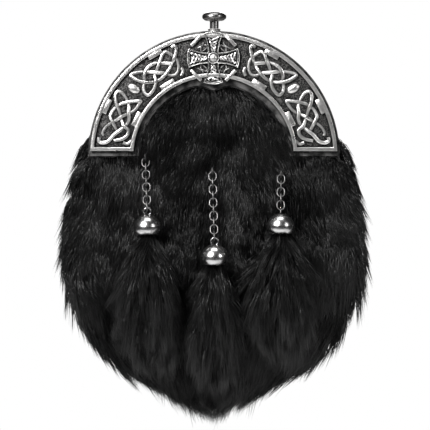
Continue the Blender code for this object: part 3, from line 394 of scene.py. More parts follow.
def cross_outline(inset):
    """The outline of the cross: four arms that flare to gently rounded ends, drawn in by the inset."""
    reach, waist, end = CROSS_REACH - inset, CROSS_WAIST - 0.6 * inset, CROSS_END - inset
    shoulder = 0.93 * reach
    shares = np.linspace(0, 1, 9)
    side = [(waist + (shoulder - waist) * t, waist + (end - waist) * t ** 2.2) for t in shares]
    tip = [(shoulder + (reach - shoulder) * (1 - s * s), end * s) for s in np.linspace(1, -1, 9)[1:-1]]
    arm = side + tip + [(x, -z) for x, z in reversed(side[1:])]
    points = []
    for quarter in range(4):
        cos, sin = ((1, 0), (0, -1), (-1, 0), (0, 1))[quarter]
        points += [(x * cos - z * sin, x * sin + z * cos + CROSS_MIDDLE) for x, z in arm]
    return points


def joined(name, pieces, material):
    """The pieces as one object, shaded smooth with its sharp edges kept."""
    bpy.ops.object.select_all(action="DESELECT")
    for piece in pieces:
        piece.select_set(True)
    bpy.context.view_layer.objects.active = pieces[0]
    bpy.ops.object.join()
    whole = bpy.context.object
    whole.name = name
    bpy.ops.object.transform_apply(location=True, rotation=True, scale=True)
    bpy.ops.object.mode_set(mode="EDIT")
    bpy.ops.mesh.select_all(action="SELECT")
    bpy.ops.mesh.normals_make_consistent(inside=False)
    bpy.ops.object.mode_set(mode="OBJECT")
    bpy.ops.object.shade_smooth_by_angle(angle=math.radians(40))
    whole.data.materials.clear()
    whole.data.materials.append(material)
    whole.select_set(False)
    return whole


def spun(name, profile, steps, middle):
    """A turned piece: (radius, height) rows revolved round an upright axis through the middle."""
    curve = [(radius, 0.0, height) for radius, height in profile]
    mesh = bpy.data.meshes.new(name)
    mesh.from_pydata(curve, [(i, i + 1) for i in range(len(curve) - 1)], [])
    piece = bpy.data.objects.new(name, mesh)
    bpy.context.collection.objects.link(piece)
    piece.location = middle
    bpy.ops.object.select_all(action="DESELECT")
    piece.select_set(True)
    bpy.context.view_layer.objects.active = piece
    screw = piece.modifiers.new("turn", "SCREW")
    screw.steps = steps
    screw.render_steps = steps
    screw.use_merge_vertices = True
    screw.merge_threshold = 0.002 * MM
    bpy.ops.object.modifier_apply(modifier=screw.name)
    bpy.ops.object.transform_apply(location=True, rotation=True, scale=True)
    return piece


relief_silver = relief_finish()
polished_silver = polished_finish("polished_silver", (0.50, 0.495, 0.495), 0.21)
knob_silver = polished_finish("knob_silver", (0.24, 0.237, 0.235), 0.26)
chain_silver = polished_finish("chain_silver", (0.20, 0.197, 0.195), 0.34)

# Cantle: skirt with three mouldings, flange, tiers and rims. Moulding rows: radius, depth, in millimetres
SKIRT_MOULDING = (
    (76.85, 0.0), (78.35, 0.0), (78.75, -0.4), (78.75, -4.4), (78.35, -4.8), (77.95, -5.0),
    (77.95, -6.2), (78.35, -6.4), (78.75, -6.8), (78.75, -10.0), (78.35, -10.4), (77.95, -10.6),
    (77.95, -11.8), (78.35, -12.0), (78.75, -12.4), (78.75, -16.2), (76.85, -16.2),
)
SKIRT_ENDS = (25, 155)
KNOB_BORE = 3.05
skirt_rows = []
for angle in np.radians(np.linspace(*SKIRT_ENDS, 97)):
    across, up = math.cos(angle), math.sin(angle)
    skirt_rows.append([(r * MM * across, y * MM, r * MM * up + ARCH_BASE) for r, y in SKIRT_MOULDING])
skirt = grid_body("skirt", skirt_rows, False)
bpy.ops.mesh.primitive_cylinder_add(vertices=32, radius=KNOB_BORE * MM, depth=8 * MM,
                                    location=(0, MOUTH_MIDDLE, 78 * MM + ARCH_BASE))
drill = bpy.context.object
bore = skirt.modifiers.new("bore", "BOOLEAN")
bore.object = drill
bore.operation = "DIFFERENCE"
bore.solver = "EXACT"
bpy.context.view_layer.objects.active = skirt
bpy.ops.object.modifier_apply(modifier=bore.name)
bpy.data.objects.remove(drill, do_unlink=True)

cantle_parts = [skirt]
cantle_parts.append(band("flange", arch(OUTER_RADIUS, 0), arch(INNER_RADIUS, 0, 96, CUSP_DROP),
                         rounded_section(FLANGE_REAR, FLANGE_FRONT, 0.3 * MM)))
cantle_parts.append(band("mid_tier", arch(OUTER_RADIUS - TIER_STEP, TIER_STEP),
                         arch(INNER_RADIUS + TIER_STEP, TIER_STEP, 96, CUSP_DROP),
                         rounded_section(FLANGE_FRONT + 0.2 * MM, MID_FRONT, 0.3 * MM)))
top_outer, top_inner = arch(TOP_TIER_OUTER, TOP_TIER_FOOT), arch(TOP_TIER_INNER, TOP_TIER_FOOT)
cantle_parts.append(band("recess_floor", top_outer, top_inner,
                         rounded_section(MID_FRONT + 0.2 * MM, RECESS_FLOOR, 0.05 * MM)))
rim_edge = top_outer + top_inner[::-1]
rim_inside = arch(TOP_TIER_OUTER - RIM_WIDTH, TOP_TIER_FOOT + RIM_WIDTH)
rim_inside += arch(TOP_TIER_INNER + RIM_WIDTH, TOP_TIER_FOOT + RIM_WIDTH)[::-1]
rim_section = rounded_section(RECESS_FLOOR + 0.2 * MM, RIM_FRONT, 0.5 * MM)
cantle_parts.append(band("rim", rim_edge, rim_inside, rim_section, closed=True))

# Cantle: notch plates, ovals, cross and its ring
NOTCH_ROWS = (("outer", 60.5), ("outer", 25.5), ("inner", 57.8), ("inner", 26.5))
NOTCH_SIZE = (9.6 * MM, 1.9 * MM, 3.6 * MM)
NOTCH_INSET = 3.3 * MM
OVAL_RADIUS = 65.5 * MM
OVAL_TURN = 49.3
OVAL_TILT = math.radians(28.7)
OVAL_HALVES = (4.4 * MM, 1.9 * MM, 2.8 * MM)
OVAL_BED_HALVES = (5.0 * MM, 0.5 * MM, 3.4 * MM)
RING_RADIUS = 15.2 * MM
RING_BAR_SIZE = (9.0 * MM, 2.4 * MM, 2.1 * MM)
for which, degrees in NOTCH_ROWS:
    radius = TOP_TIER_OUTER - NOTCH_INSET if which == "outer" else TOP_TIER_INNER + NOTCH_INSET
    for angle in (math.radians(degrees), math.pi - math.radians(degrees)):
        across, up = radius * math.cos(angle), radius * math.sin(angle)
        place = (across, RECESS_FLOOR - 0.75 * MM, up + ARCH_BASE)
        cantle_parts.append(rounded_plate("notch_plate", NOTCH_SIZE, place, angle - math.pi / 2, 0.4 * MM))
for side in (1, -1):
    angle = math.radians(90 - side * OVAL_TURN)
    place = (OVAL_RADIUS * math.cos(angle), RECESS_FLOOR, OVAL_RADIUS * math.sin(angle) + ARCH_BASE)
    cantle_parts.append(rounded_dome("oval", OVAL_HALVES, place, side * OVAL_TILT))
    cantle_parts.append(rounded_dome("oval_bed", OVAL_BED_HALVES, place, side * OVAL_TILT))
for quarter in range(4):
    angle = math.radians(45 + 90 * quarter)
    place = (RING_RADIUS * math.cos(angle), RECESS_FLOOR - 0.8 * MM,
             CROSS_MIDDLE + RING_RADIUS * math.sin(angle) + ARCH_BASE)
    cantle_parts.append(rounded_plate("ring_bar", RING_BAR_SIZE, place, angle - math.pi / 2, 0.45 * MM))
field = RECESS_FLOOR - 0.5 * MM
cross_edge, cross_inside = cross_outline(0.0), cross_outline(0.65 * MM)
hub = [(0.0, CROSS_MIDDLE)] * len(cross_edge)
cross_rear = RECESS_FLOOR + 0.2 * MM
cross_section = ((0, 0.0, cross_rear), (0, 0.0, field), (1, 0.02 * MM, field), (1, 0.02 * MM, cross_rear))
cantle_parts.append(band("cross", cross_edge, hub, cross_section, closed=True))
cantle_parts.append(band("cross_border", cross_edge, cross_inside,
                         rounded_section(field + 0.3 * MM, -22.8 * MM, 0.25 * MM), closed=True))
cantle_parts.append(band("cross_line", cross_outline(0.95 * MM), cross_outline(1.4 * MM),
                         rounded_section(field + 0.2 * MM, -22.3 * MM, 0.2 * MM), closed=True))
boss_place = (0, field - 0.8 * MM, CROSS_MIDDLE + ARCH_BASE)
cantle_parts.append(rounded_dome("boss", (2.6 * MM, 2.0 * MM, 2.6 * MM), boss_place, 0))
bpy.ops.mesh.primitive_torus_add(major_segments=40, minor_segments=10, location=boss_place,
                                 major_radius=3.2 * MM, minor_radius=0.45 * MM,
                                 rotation=(math.pi / 2, 0, 0))
cantle_parts.append(bpy.context.object)
bpy.ops.object.transform_apply(location=True, rotation=True, scale=True)

# Cantle: plaits on the cross, knots in its corners, and the woven strands of the four panels
PLAIT_RADIUS = 0.52 * MM
CORNER_KNOT_RADIUS = 0.42 * MM
along = np.linspace(0, 1, 61)
plait_lift = RECESS_FLOOR - field + 0.45 * MM
for quarter in range(4):
    angle = math.radians(90 * quarter)
    out = np.array((math.cos(angle), math.sin(angle)))
    aside = np.array((-out[1], out[0]))
    paths = []
    for phase in (0, 1, 2):
        swing = (0.9 + 2.7 * along ** 1.5) * np.sin(math.tau * (1.55 * along + phase / 3)) * MM
        reach = (4.3 + 9.6 * along) * MM
        paths.append(np.array((0, CROSS_MIDDLE)) + reach[:, None] * out + swing[:, None] * aside)
    for path, heights in zip(paths, woven_heights(paths)):
        cantle_parts.append(tube("plait", path, heights, PLAIT_RADIUS, 0.9, plait_lift, 0.26 * MM))
for quarter in range(4):
    angle = math.radians(45 + 90 * quarter)
    turn = np.linspace(0, math.tau, 73)
    ring = np.stack([1.9 * MM * np.sin(2 * turn + 0.4), 2.6 * MM * np.sin(3 * turn)], 1)
    out = np.array((math.cos(angle), math.sin(angle)))
    aside = np.array((-out[1], out[0]))
    path = np.array((0, CROSS_MIDDLE)) + (9.4 * MM + ring[:, :1]) * out + ring[:, 1:] * aside
    heights = woven_heights([path])[0]
    cantle_parts.append(tube("corner_knot", path, heights, CORNER_KNOT_RADIUS, 0.9, 0.2 * MM, 0.25 * MM))
for panel in ((UPPER_STRAND, UPPER_HOOK), (LOWER_LONG_STRAND, LOWER_SHORT_STRAND, LOWER_CURL)):
    paths = [smooth_path(np.array(points) * MM, 6) for points in panel]
    for path, heights in zip(paths, woven_heights(paths)):
        for side in (1, -1):
            mirrored = path * np.array((side, 1))
            cantle_parts.append(tube("strand", mirrored, heights, STRAND_RADIUS, STRAND_FLATNESS,
                                     0.35 * MM, WEAVE))

# Cantle: the collar that the knob passes through. Rows: radius, height, in millimetres
COLLAR_PROFILE = (
    (KNOB_BORE, 80.4), (3.5, 80.55), (3.9, 80.3), (3.9, 79.9), (3.6, 79.6), (3.9, 79.2), (3.9, 77.2),
    (KNOB_BORE, 77.2), (KNOB_BORE, 80.4),
)
collar_rows = [(r * MM, z * MM) for r, z in COLLAR_PROFILE]
cantle_parts.append(spun("collar", collar_rows, 40, (0, MOUTH_MIDDLE, ARCH_BASE)))
cantle_cast = joined("cantle_cast", cantle_parts, relief_silver)
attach(cantle_cast, "sporran")
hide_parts("cantle")


# Knob
# The catch button, turned from solid metal and darkened: a mushroom head on a stem. The stem passes through
# the collar, and a foot under the crown keeps it from coming out. Rows: radius, height, in millimetres.

HEAD_LOW = 85.45
KNOB_HEAD = (
    (0.0, 6.2), (2.2, 6.12), (4.0, 5.85), (5.4, 5.35), (6.5, 4.6), (7.2, 3.8), (7.55, 3.0), (7.6, 2.4),
    (7.45, 1.7), (7.1, 1.2), (6.6, 0.95), (6.3, 0.55), (5.5, 0.15), (4.4, 0.0), (3.4, -0.05), (2.75, -0.5),
)
KNOB_STEM = ((2.75, 76.25), (3.8, 76.25), (3.8, 74.75), (0.0, 74.75))
knob_profile = [(r * MM, (HEAD_LOW + z) * MM) for r, z in KNOB_HEAD]
knob_profile += [(r * MM, z * MM) for r, z in KNOB_STEM]
knob_turned = joined("knob_turned", [spun("knob_head", knob_profile, 48, (0, MOUTH_MIDDLE, ARCH_BASE))],
                     knob_silver)
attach(knob_turned, "knob")
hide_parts("knob")


# Chains and caps
# Each link is a ring of thin dulled wire, drawn out a little and threaded through its neighbours. The last
# one holds the wire bail of a polished cap, which is pressed from sheet in two halves with a lip between.

WIRE_RADIUS = 0.34 * MM
LINK_SIZE = (5.2 * MM, 6.65 * MM)


def wire_ring(name, middle, side, up, width, height):
    """A ring of wire: two half turns joined by straight sides, in the plane of side and up."""
    radius = 0.5 * width - WIRE_RADIUS
    straight = 0.5 * (height - width)
    section, rows = 10, []
    for i in range(28):
        turn = math.tau * (i + 0.5) / 28
        out = math.cos(turn) * side + math.sin(turn) * up
        centre = middle + radius * out + math.copysign(straight, math.sin(turn)) * up
        facing = np.cross(side, up)
        rows.append([centre + WIRE_RADIUS * (math.cos(a) * out + math.sin(a) * facing)
                     for a in np.linspace(0, math.tau, section, endpoint=False)])
    return grid_body(name, rows, True)


def axes_of(node_name):
    """The middle of a packed link and its directions: the long one, the wide one and the thin one."""
    node = nodes[node_name]
    spots = np.array([node.matrix_world @ vert.co for vert in node.data.vertices])
    middle = spots.mean(0)
    _, _, directions = np.linalg.svd(spots - middle, full_matrices=False)
    return middle, directions


# Cap rows: share of the radius, share of the height from the top
CAP_RADIUS = 8.6 * MM
CAP_HEIGHT = 12.6 * MM
CAP_SHARES = (
    (0.0, 0.0), (0.16, 0.008), (0.32, 0.035), (0.48, 0.085), (0.62, 0.15), (0.75, 0.24), (0.86, 0.345),
    (0.94, 0.45), (0.985, 0.545), (0.995, 0.585), (0.965, 0.60), (0.965, 0.625), (1.0, 0.64),
    (0.998, 0.70), (0.975, 0.78), (0.93, 0.86), (0.865, 0.935), (0.80, 0.985), (0.77, 1.0), (0.64, 1.0),
    (0.75, 0.62), (0.5, 0.34), (0.0, 0.22),
)
BAIL_SIZE = 5.2 * MM
BAIL_LIFT = 1.7 * MM
CHAIN_ROWS = (("left", 8), ("middle", 10), ("right", 5))
for place_name, links in CHAIN_ROWS:
    rings = []
    for i in range(1, links + 1):
        middle, directions = axes_of("link_%s_%d" % (place_name, i))
        rings.append(wire_ring("link", middle, directions[1], directions[0], *LINK_SIZE))
    chain = joined("chain_" + place_name, rings, chain_silver)
    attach(chain, "sporran")
    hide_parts(*["link_%s_%d" % (place_name, i) for i in range(1, links + 1)])

    low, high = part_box("tassel_cap_" + place_name)
    top = low.z + CAP_HEIGHT
    middle = (0.5 * (low.x + high.x), 0.5 * (low.y + high.y), top)
    cup = spun("cup", [(r * CAP_RADIUS, -z * CAP_HEIGHT) for r, z in CAP_SHARES], 64, middle)
    bail = wire_ring("bail", np.array(middle) + np.array((0, 0, BAIL_LIFT)), directions[2],
                     np.array((0.0, 0.0, 1.0)), BAIL_SIZE, BAIL_SIZE)
    cap = joined("cap_" + place_name, [cup, bail], polished_silver)
    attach(cap, "sporran")
    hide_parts("tassel_cap_" + place_name)


# Rear frame and eyes
# The plain metal arch behind the back is the rear half of the clasp frame. The eyes that the chains hang
# from are bent from the same dulled wire and sit in the fur.

dress(["back_frame"], polished_silver)
dress([name for name in nodes if name.startswith("chain_eye")], chain_silver)


# Leather
# The back, the front under the fur, the side strip and the strap loops are black grained cowhide. They are
# cut from the flat and sewn together along the edges.

def leather_finish():
    """Black grained leather: fine pebbles, soft creases and a waxy shine on top of the grain."""
    material, tree, shader = new_material("black_leather")
    place = add_node(tree, "TexCoord").outputs["Object"]
    pebble = add_node(tree, "TexVoronoi", {"Vector": place, "Scale": 900.0}).outputs["Distance"]
    cloud = add_node(tree, "TexNoise", {"Vector": place, "Scale": 60.0, "Detail": 5.0}).outputs["Fac"]
    tint = ramp(tree, cloud, ((0.3, (0.007, 0.0067, 0.0063)), (0.7, (0.018, 0.0168, 0.0155))))
    tree.links.new(tint, shader.inputs["Base Color"])
    tree.links.new(span(tree, pebble, 0.0, 0.7, 0.36, 0.60), shader.inputs["Roughness"])
    shader.inputs["Specular IOR Level"].default_value = 0.35
    soft = add_node(tree, "Math", {0: cloud, 1: 1.5}, operation="MULTIPLY").outputs[0]
    grain = add_node(tree, "Math", {0: pebble, 1: soft}, operation="ADD").outputs[0]
    bump = add_node(tree, "Bump", {"Height": grain, "Strength": 0.45, "Distance": 0.3 * MM})
    tree.links.new(bump.outputs["Normal"], shader.inputs["Normal"])
    return material


black_leather = leather_finish()
dress(["back_panel", "front_panel", "gusset", "strap_loop_left", "strap_loop_right"], black_leather)


# Back stitches
# Waxed thread round the leather back, clear of the rear frame, and across the two tabs of each strap loop.
# Each stitch is a short thick bow of thread, half sunk in the leather.

STITCH_PITCH = 3.4 * MM
STITCH_LENGTH = 2.5 * MM
STITCH_RADIUS = 0.55 * MM
SEAM_INSET = 4.0 * MM
LOOP_MIDDLE = 38.0 * MM
LOOP_TAB_MIDDLE = 14.4 * MM
LOOP_SEAM_HALF = 6.4 * MM
BACK_FACE = 0.05 * MM
TAB_FACE = 2.35 * MM
STITCH_ROWS = ((-0.5, 0.25), (-0.36, 0.8), (0.0, 1.0), (0.36, 0.8), (0.5, 0.25))


def thread_finish():
    """Waxed dark grey thread with a fine twist."""
    material, tree, shader = new_material("waxed_thread")
    place = add_node(tree, "TexCoord").outputs["Object"]
    wave = add_node(tree, "TexWave", {"Vector": place, "Scale": 700.0}, bands_direction="DIAGONAL")
    twist = wave.outputs["Fac"]
    tint = ramp(tree, twist, ((0.2, (0.03, 0.029, 0.028)), (0.8, (0.15, 0.146, 0.14))))
    tree.links.new(tint, shader.inputs["Base Color"])
    tree.links.new(span(tree, twist, 0.0, 1.0, 0.6, 0.4), shader.inputs["Roughness"])
    bump = add_node(tree, "Bump", {"Height": twist, "Strength": 0.6, "Distance": 0.15 * MM})
    tree.links.new(bump.outputs["Normal"], shader.inputs["Normal"])
    return material


def stitch_rows(name, path, depth):
    """A seam of short stitches along a path (x, z), each half sunk in the leather at the depth."""
    spots = np.array(path, float)
    steps = np.linalg.norm(np.diff(spots, axis=0), axis=1)
    reach = np.concatenate([[0], np.cumsum(steps)])
    places = np.arange(0.5 * STITCH_PITCH, reach[-1], STITCH_PITCH)
    further = np.minimum(places + 0.5 * MM, reach[-1])
    middles = np.stack([np.interp(places, reach, spots[:, k]) for k in (0, 1)], 1)
    ahead = np.stack([np.interp(further, reach, spots[:, k]) for k in (0, 1)], 1)
    pieces = []
    for (x, z), (ax, az) in zip(middles, ahead):
        length = max(math.hypot(ax - x, az - z), 1e-9)
        way = np.array(((ax - x) / length, 0.0, (az - z) / length))
        aside = np.array((way[2], 0.0, -way[0]))
        rearward = np.array((0, 1, 0))
        rows = []
        for share, girth in STITCH_ROWS:
            centre = np.array((x, depth, z)) + share * STITCH_LENGTH * way
            rows.append([centre + girth * STITCH_RADIUS * (math.cos(a) * aside + math.sin(a) * rearward)
                         for a in np.linspace(0, math.tau, 8, endpoint=False)])
        pieces.append(grid_body("stitch", rows, False))
    return joined(name, pieces, waxed_thread)


waxed_thread = thread_finish()
panel = nodes["back_panel"]
rear_face = np.array([panel.matrix_world @ vert.co for vert in panel.data.vertices])
rear_face = rear_face[rear_face[:, 1] > -0.1 * MM][:, (0, 2)]
centre = rear_face.mean(0)
turns = np.arctan2(rear_face[:, 1] - centre[1], rear_face[:, 0] - centre[0])
reach = np.linalg.norm(rear_face - centre, axis=1)
angles = np.linspace(-math.pi, math.pi, 241)[:-1]
reach_there = np.interp(angles, turns, reach, period=math.tau) - SEAM_INSET
seam = centre + reach_there[:, None] * np.stack([np.cos(angles), np.sin(angles)], 1)
below = seam[:, 1] < ARCH_BASE - 1 * MM
first = int(np.flatnonzero(below & ~np.roll(below, 1))[0])
open_seam = np.roll(seam, -first, axis=0)[:int(below.sum())]
seams = [stitch_rows("back_seam", open_seam, BACK_FACE)]
for side in (-1, 1):
    for up in (-1, 1):
        loop_x, tab_z = side * LOOP_MIDDLE, up * LOOP_TAB_MIDDLE
        row = [(loop_x - LOOP_SEAM_HALF, tab_z), (loop_x + LOOP_SEAM_HALF, tab_z)]
        seams.append(stitch_rows("loop_seam", row, TAB_FACE))
back_stitches = joined("back_stitches", seams, waxed_thread)
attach(back_stitches, "sporran")


# Fur front
# A black pelt, glued over the leather front. Its hair is combed down from under the arch and in towards
# the tip. The hair lies in locks, and the locks lie in soft swells.

FUR_SEED = 11
FRONT_LIMIT = -62.0 * MM
FRONT_REACH = 9.0 * MM
SWELLS = 330
LOCKS = 8600
HAIRS_A_LOCK = 10
HAIR_LENGTH = 23.0 * MM
HAIR_WIDTH = 0.42 * MM
HAIR_INSET = 1.3 * MM
LOCK_SPREAD = 2.0 * MM
FUR_SPLIT = -75.0 * MM
PARTING_START = -55.0 * MM
TIP_HEIGHT = -186.0 * MM


def fur_finish(name, root, tip):
    """Hair: near black at the root, a little greyer and glossier at the tip, its tone random and part
    painted highlight.
    """
    material, tree, shader = new_material(name)
    along = add_node(tree, "UVMap", uv_map="hair").outputs["UV"]
    parts = add_node(tree, "SeparateXYZ", {"Vector": along})
    length = ramp(tree, parts.outputs["Y"], ((0.0, root), (1.0, tip)))
    own = parts.outputs["X"]
    # The own tone makes a hair darker or up to three times brighter, and sets its gloss below: partly
    # random between hairs, partly painted highlight that brightens whole swells and locks where light would
    # catch them.
    tone_and_sheen = ramp(tree, own, ((0.0, (0.04, 0.04, 0.04)), (0.5, (0.6, 0.6, 0.6)), (1.0, (3.0, 2.96, 2.92))))
    colour = mixed(tree, 1.0, length, tone_and_sheen, blend_type="MULTIPLY")
    tree.links.new(colour, shader.inputs["Base Color"])
    tree.links.new(span(tree, own, 0.0, 1.0, 0.50, 0.40), shader.inputs["Roughness"])
    tree.links.new(span(tree, own, 0.0, 1.0, 0.02, 0.80), shader.inputs["Specular IOR Level"])
    return material


def pelt_finish():
    """The dense underfur, seen only between the locks."""
    material, tree, shader = new_material("underfur")
    place = add_node(tree, "TexCoord").outputs["Object"]
    fibre = add_node(tree, "TexNoise", {"Vector": place, "Scale": 700.0, "Detail": 3.0}).outputs["Fac"]
    tint = ramp(tree, fibre, ((0.3, (0.0008, 0.0008, 0.0008)), (0.7, (0.003, 0.003, 0.003))))
    tree.links.new(tint, shader.inputs["Base Color"])
    shader.inputs["Roughness"].default_value = 0.9
    shader.inputs["Specular IOR Level"].default_value = 0.04
    bump = add_node(tree, "Bump", {"Height": fibre, "Strength": 0.8, "Distance": 0.6 * MM})
    tree.links.new(bump.outputs["Normal"], shader.inputs["Normal"])
    return material


def pelt_from(node_name, name, smoothing, shrink):
    """A smooth skin inside a packed fur solid: merged, its locks smoothed away, drawn inwards."""
    bpy.ops.object.select_all(action="DESELECT")
    pelt = nodes[node_name].copy()
    pelt.data = nodes[node_name].data.copy()
    pelt.name = name
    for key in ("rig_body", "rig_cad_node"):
        del pelt[key]
    pelt.parent = None
    bpy.context.collection.objects.link(pelt)
    bpy.context.view_layer.objects.active = pelt
    pelt.select_set(True)
    bpy.ops.object.mode_set(mode="EDIT")
    bpy.ops.mesh.select_all(action="SELECT")
    bpy.ops.mesh.remove_doubles(threshold=0.002 * MM)
    bpy.ops.mesh.normals_make_consistent(inside=False)
    bpy.ops.mesh.vertices_smooth(factor=0.5, repeat=smoothing)
    bpy.ops.transform.shrink_fatten(value=-shrink)
    bpy.ops.object.mode_set(mode="OBJECT")
    bpy.ops.object.shade_smooth()
    pelt.select_set(False)
    return pelt


def surface_of(obj):
    """The points, vertex normals and triangles of a mesh as arrays."""
    mesh = obj.data
    mesh.calc_loop_triangles()
    points = np.empty(3 * len(mesh.vertices))
    normals = np.empty(3 * len(mesh.vertices))
    faces = np.empty(3 * len(mesh.loop_triangles), np.int64)
    mesh.vertices.foreach_get("co", points)
    mesh.vertices.foreach_get("normal", normals)
    mesh.loop_triangles.foreach_get("vertices", faces)
    return points.reshape(-1, 3), normals.reshape(-1, 3), faces.reshape(-1, 3)


def unit(vectors):
    return vectors / np.maximum(np.linalg.norm(vectors, axis=1, keepdims=True), 1e-12)


def scatter(rng, surface, keep, count):
    """Random places spread evenly over the kept faces of a surface, with the normal at each."""
    points, normals, faces = surface
    faces = faces[keep(points[faces].mean(1), unit(normals[faces].mean(1)))]
    corners = points[faces]
    first, second = corners[:, 1] - corners[:, 0], corners[:, 2] - corners[:, 0]
    areas = np.linalg.norm(np.cross(first, second), axis=1)
    chosen = rng.choice(len(faces), count, p=areas / areas.sum())
    a, b = rng.random((2, count, 1))
    over = (a + b) > 1
    a, b = np.where(over, 1 - a, a), np.where(over, 1 - b, b)
    weights = np.stack([1 - a - b, a, b], 1)
    return (corners[chosen] * weights).sum(1), unit((normals[faces[chosen]] * weights).sum(1))


def turned(directions, angles):
    """Directions turned in the front view by angles, anticlockwise seen from the front."""
    cos, sin = np.cos(angles), np.sin(angles)
    x, z = directions[:, 0], directions[:, 2]
    return np.stack([x * cos - z * sin, directions[:, 1], x * sin + z * cos], 1)


def nearest(places, centres):
    """The number of the centre nearest to each place."""
    found = np.empty(len(places), np.int64)
    for start in range(0, len(places), 2000):
        block = places[start:start + 2000]
        found[start:start + 2000] = ((block[:, None] - centres[None]) ** 2).sum(2).argmin(1)
    return found


def hair_mesh(name, roots, elbows, tips, widths, facing, hair_tones_and_sheen):
    """One mesh of hairs, each a closed spindle: a point, a three-cornered ring at its elbow, a point."""
    count = len(roots)
    way = unit(tips - roots)
    side = unit(np.cross(way, facing))
    up = np.cross(side, way)
    ring = []
    for corner in range(3):
        turn = math.tau * corner / 3
        ring.append(elbows + 0.5 * widths[:, None] * (math.cos(turn) * side + math.sin(turn) * up))
    points = np.stack([roots, *ring, tips], 1).reshape(-1, 3)
    pattern = np.array(((0, 2, 1), (0, 3, 2), (0, 1, 3), (4, 1, 2), (4, 2, 3), (4, 3, 1)))
    faces = (pattern[None] + 5 * np.arange(count)[:, None, None]).reshape(-1, 3)
    mesh = bpy.data.meshes.new(name)
    mesh.from_pydata(points, [], faces)
    share = np.tile(np.array((0.0, 0.4, 0.4, 0.4, 1.0)), count)
    spots = np.stack([np.repeat(hair_tones_and_sheen, 5), share], 1)[faces.ravel()]
    layer = mesh.uv_layers.new(name="hair")
    layer.uv.foreach_set("vector", spots.astype(np.float32).ravel())
    mesh.shade_smooth()
    obj = bpy.data.objects.new(name, mesh)
    bpy.context.collection.objects.link(obj)
    return obj


def held_back(places):
    """Hair ends that would stand far out in front, pressed back softly."""
    over = np.maximum(FRONT_LIMIT - places[:, 1], 0)
    places[:, 1] += over - FRONT_REACH * np.tanh(over / FRONT_REACH)


def combed(places):
    """The way the hair runs: down, a little outwards above, and inwards to the tip below."""
    x, z = places[:, 0], places[:, 2]
    low = np.clip((PARTING_START - z) / (PARTING_START - TIP_HEIGHT), 0, 1)
    lean = 1.4 * x / (9 * MM + np.abs(x)) * 0.12 * (1 - low) - 1.25 * np.tanh(20 * x * low ** 1.4)
    lean += 0.10 * np.sin(70 * x + 40 * z) + 0.08 * np.sin(110 * z - 60 * x)
    return unit(np.stack([lean, np.zeros_like(x), -np.ones_like(x)], 1))


def along_surface(directions, normals):
    """Directions laid into the surface with these normals."""
    return unit(directions - (directions * normals).sum(1, keepdims=True) * normals)


def open_fur(places, normals):
    """The fur that shows: not its rear, and not what the cantle covers."""
    across, up = places[:, 0], places[:, 2] - ARCH_BASE
    radius = np.hypot(across, up)
    covered = (up > 5 * MM) & (radius > 50 * MM) & (radius < 76 * MM)
    return (normals[:, 1] < 0.55) & ~covered


rng = np.random.default_rng(FUR_SEED)
underfur = pelt_finish()
black_fur = fur_finish("black_fur", (0.0010, 0.0010, 0.0010), (0.0052, 0.0050, 0.0049))
fur_pelt = pelt_from("fur_front", "fur_pelt", 2, 0.3 * MM)
fur_pelt.data.materials.clear()
fur_pelt.data.materials.append(underfur)
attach(fur_pelt, "sporran")
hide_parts("fur_front")

fur_surface = surface_of(fur_pelt)
swell_places, _ = scatter(rng, fur_surface, open_fur, SWELLS)
swell_lean = rng.normal(0, math.radians(10), SWELLS)
swell_lift = rng.uniform(-0.5, 1.0, SWELLS)
# Each swell gets a random brightness and gloss: painted highlight, standing in for light catching the
# crests of the tufts.
swell_sheen = rng.random(SWELLS)
lock_places, lock_normals = scatter(rng, fur_surface, open_fur, LOCKS)
swell_of = nearest(lock_places, swell_places)
lock_way = turned(combed(lock_places), swell_lean[swell_of] + rng.normal(0, math.radians(7), LOCKS))
lock_way = along_surface(lock_way, lock_normals)
edge = (1 - np.abs(lock_normals[:, 1])) ** 2
upward = np.clip(lock_normals[:, 2] / 0.5, 0, 1)
lock_way = unit(lock_way + 0.3 * upward[:, None] * np.array((0.0, 0.0, -1.0)))
lock_length = HAIR_LENGTH * rng.uniform(0.75, 1.15, LOCKS) * (1 - 0.05 * edge) * (1 - 0.35 * upward)
low_down = np.clip((-95 * MM - lock_places[:, 2]) / (60 * MM), 0, 1)
edge_lift = (0.33 - 0.22 * low_down) * edge
lock_lift = 0.15 + 0.10 * swell_lift[swell_of] + edge_lift + rng.normal(0, 0.05, LOCKS)
lock_tips = lock_places + lock_length[:, None] * (lock_way + lock_lift[:, None] * lock_normals)
swell_tips = swell_places + HAIR_LENGTH * combed(swell_places)
lock_tips += 0.16 * (swell_tips[swell_of] - lock_tips)

hair_lock = np.repeat(np.arange(LOCKS), HAIRS_A_LOCK)
count = len(hair_lock)
sideways = unit(np.cross(lock_way, lock_normals))[hair_lock]
across = rng.normal(0, 1, count)[:, None] * LOCK_SPREAD
down = rng.normal(0, 1, count)[:, None] * LOCK_SPREAD
roots = lock_places[hair_lock] + across * sideways + down * lock_way[hair_lock]
roots -= HAIR_INSET * lock_normals[hair_lock]
reach = lock_tips[hair_lock] - lock_places[hair_lock]
own_tips = roots + reach * rng.uniform(0.8, 1.15, count)[:, None]
gather = 0.36 * (1 - 0.6 * edge[hair_lock])[:, None]
tips = own_tips + gather * (lock_tips[hair_lock] - own_tips)
tips += rng.normal(0, 0.5 * MM, (count, 3))
held_back(tips)
bend = HAIR_LENGTH * rng.uniform(0.04, 0.10, count)[:, None]
elbows = roots + 0.42 * (tips - roots) + bend * lock_normals[hair_lock]
# A hair's tone: mostly its swell's painted highlight, the rest random per hair.
hair_tones_and_sheen = np.clip(0.68 * swell_sheen[swell_of][hair_lock] + 0.32 * rng.random(count), 0, 1)
widths = HAIR_WIDTH * rng.uniform(0.6, 1.25, count)

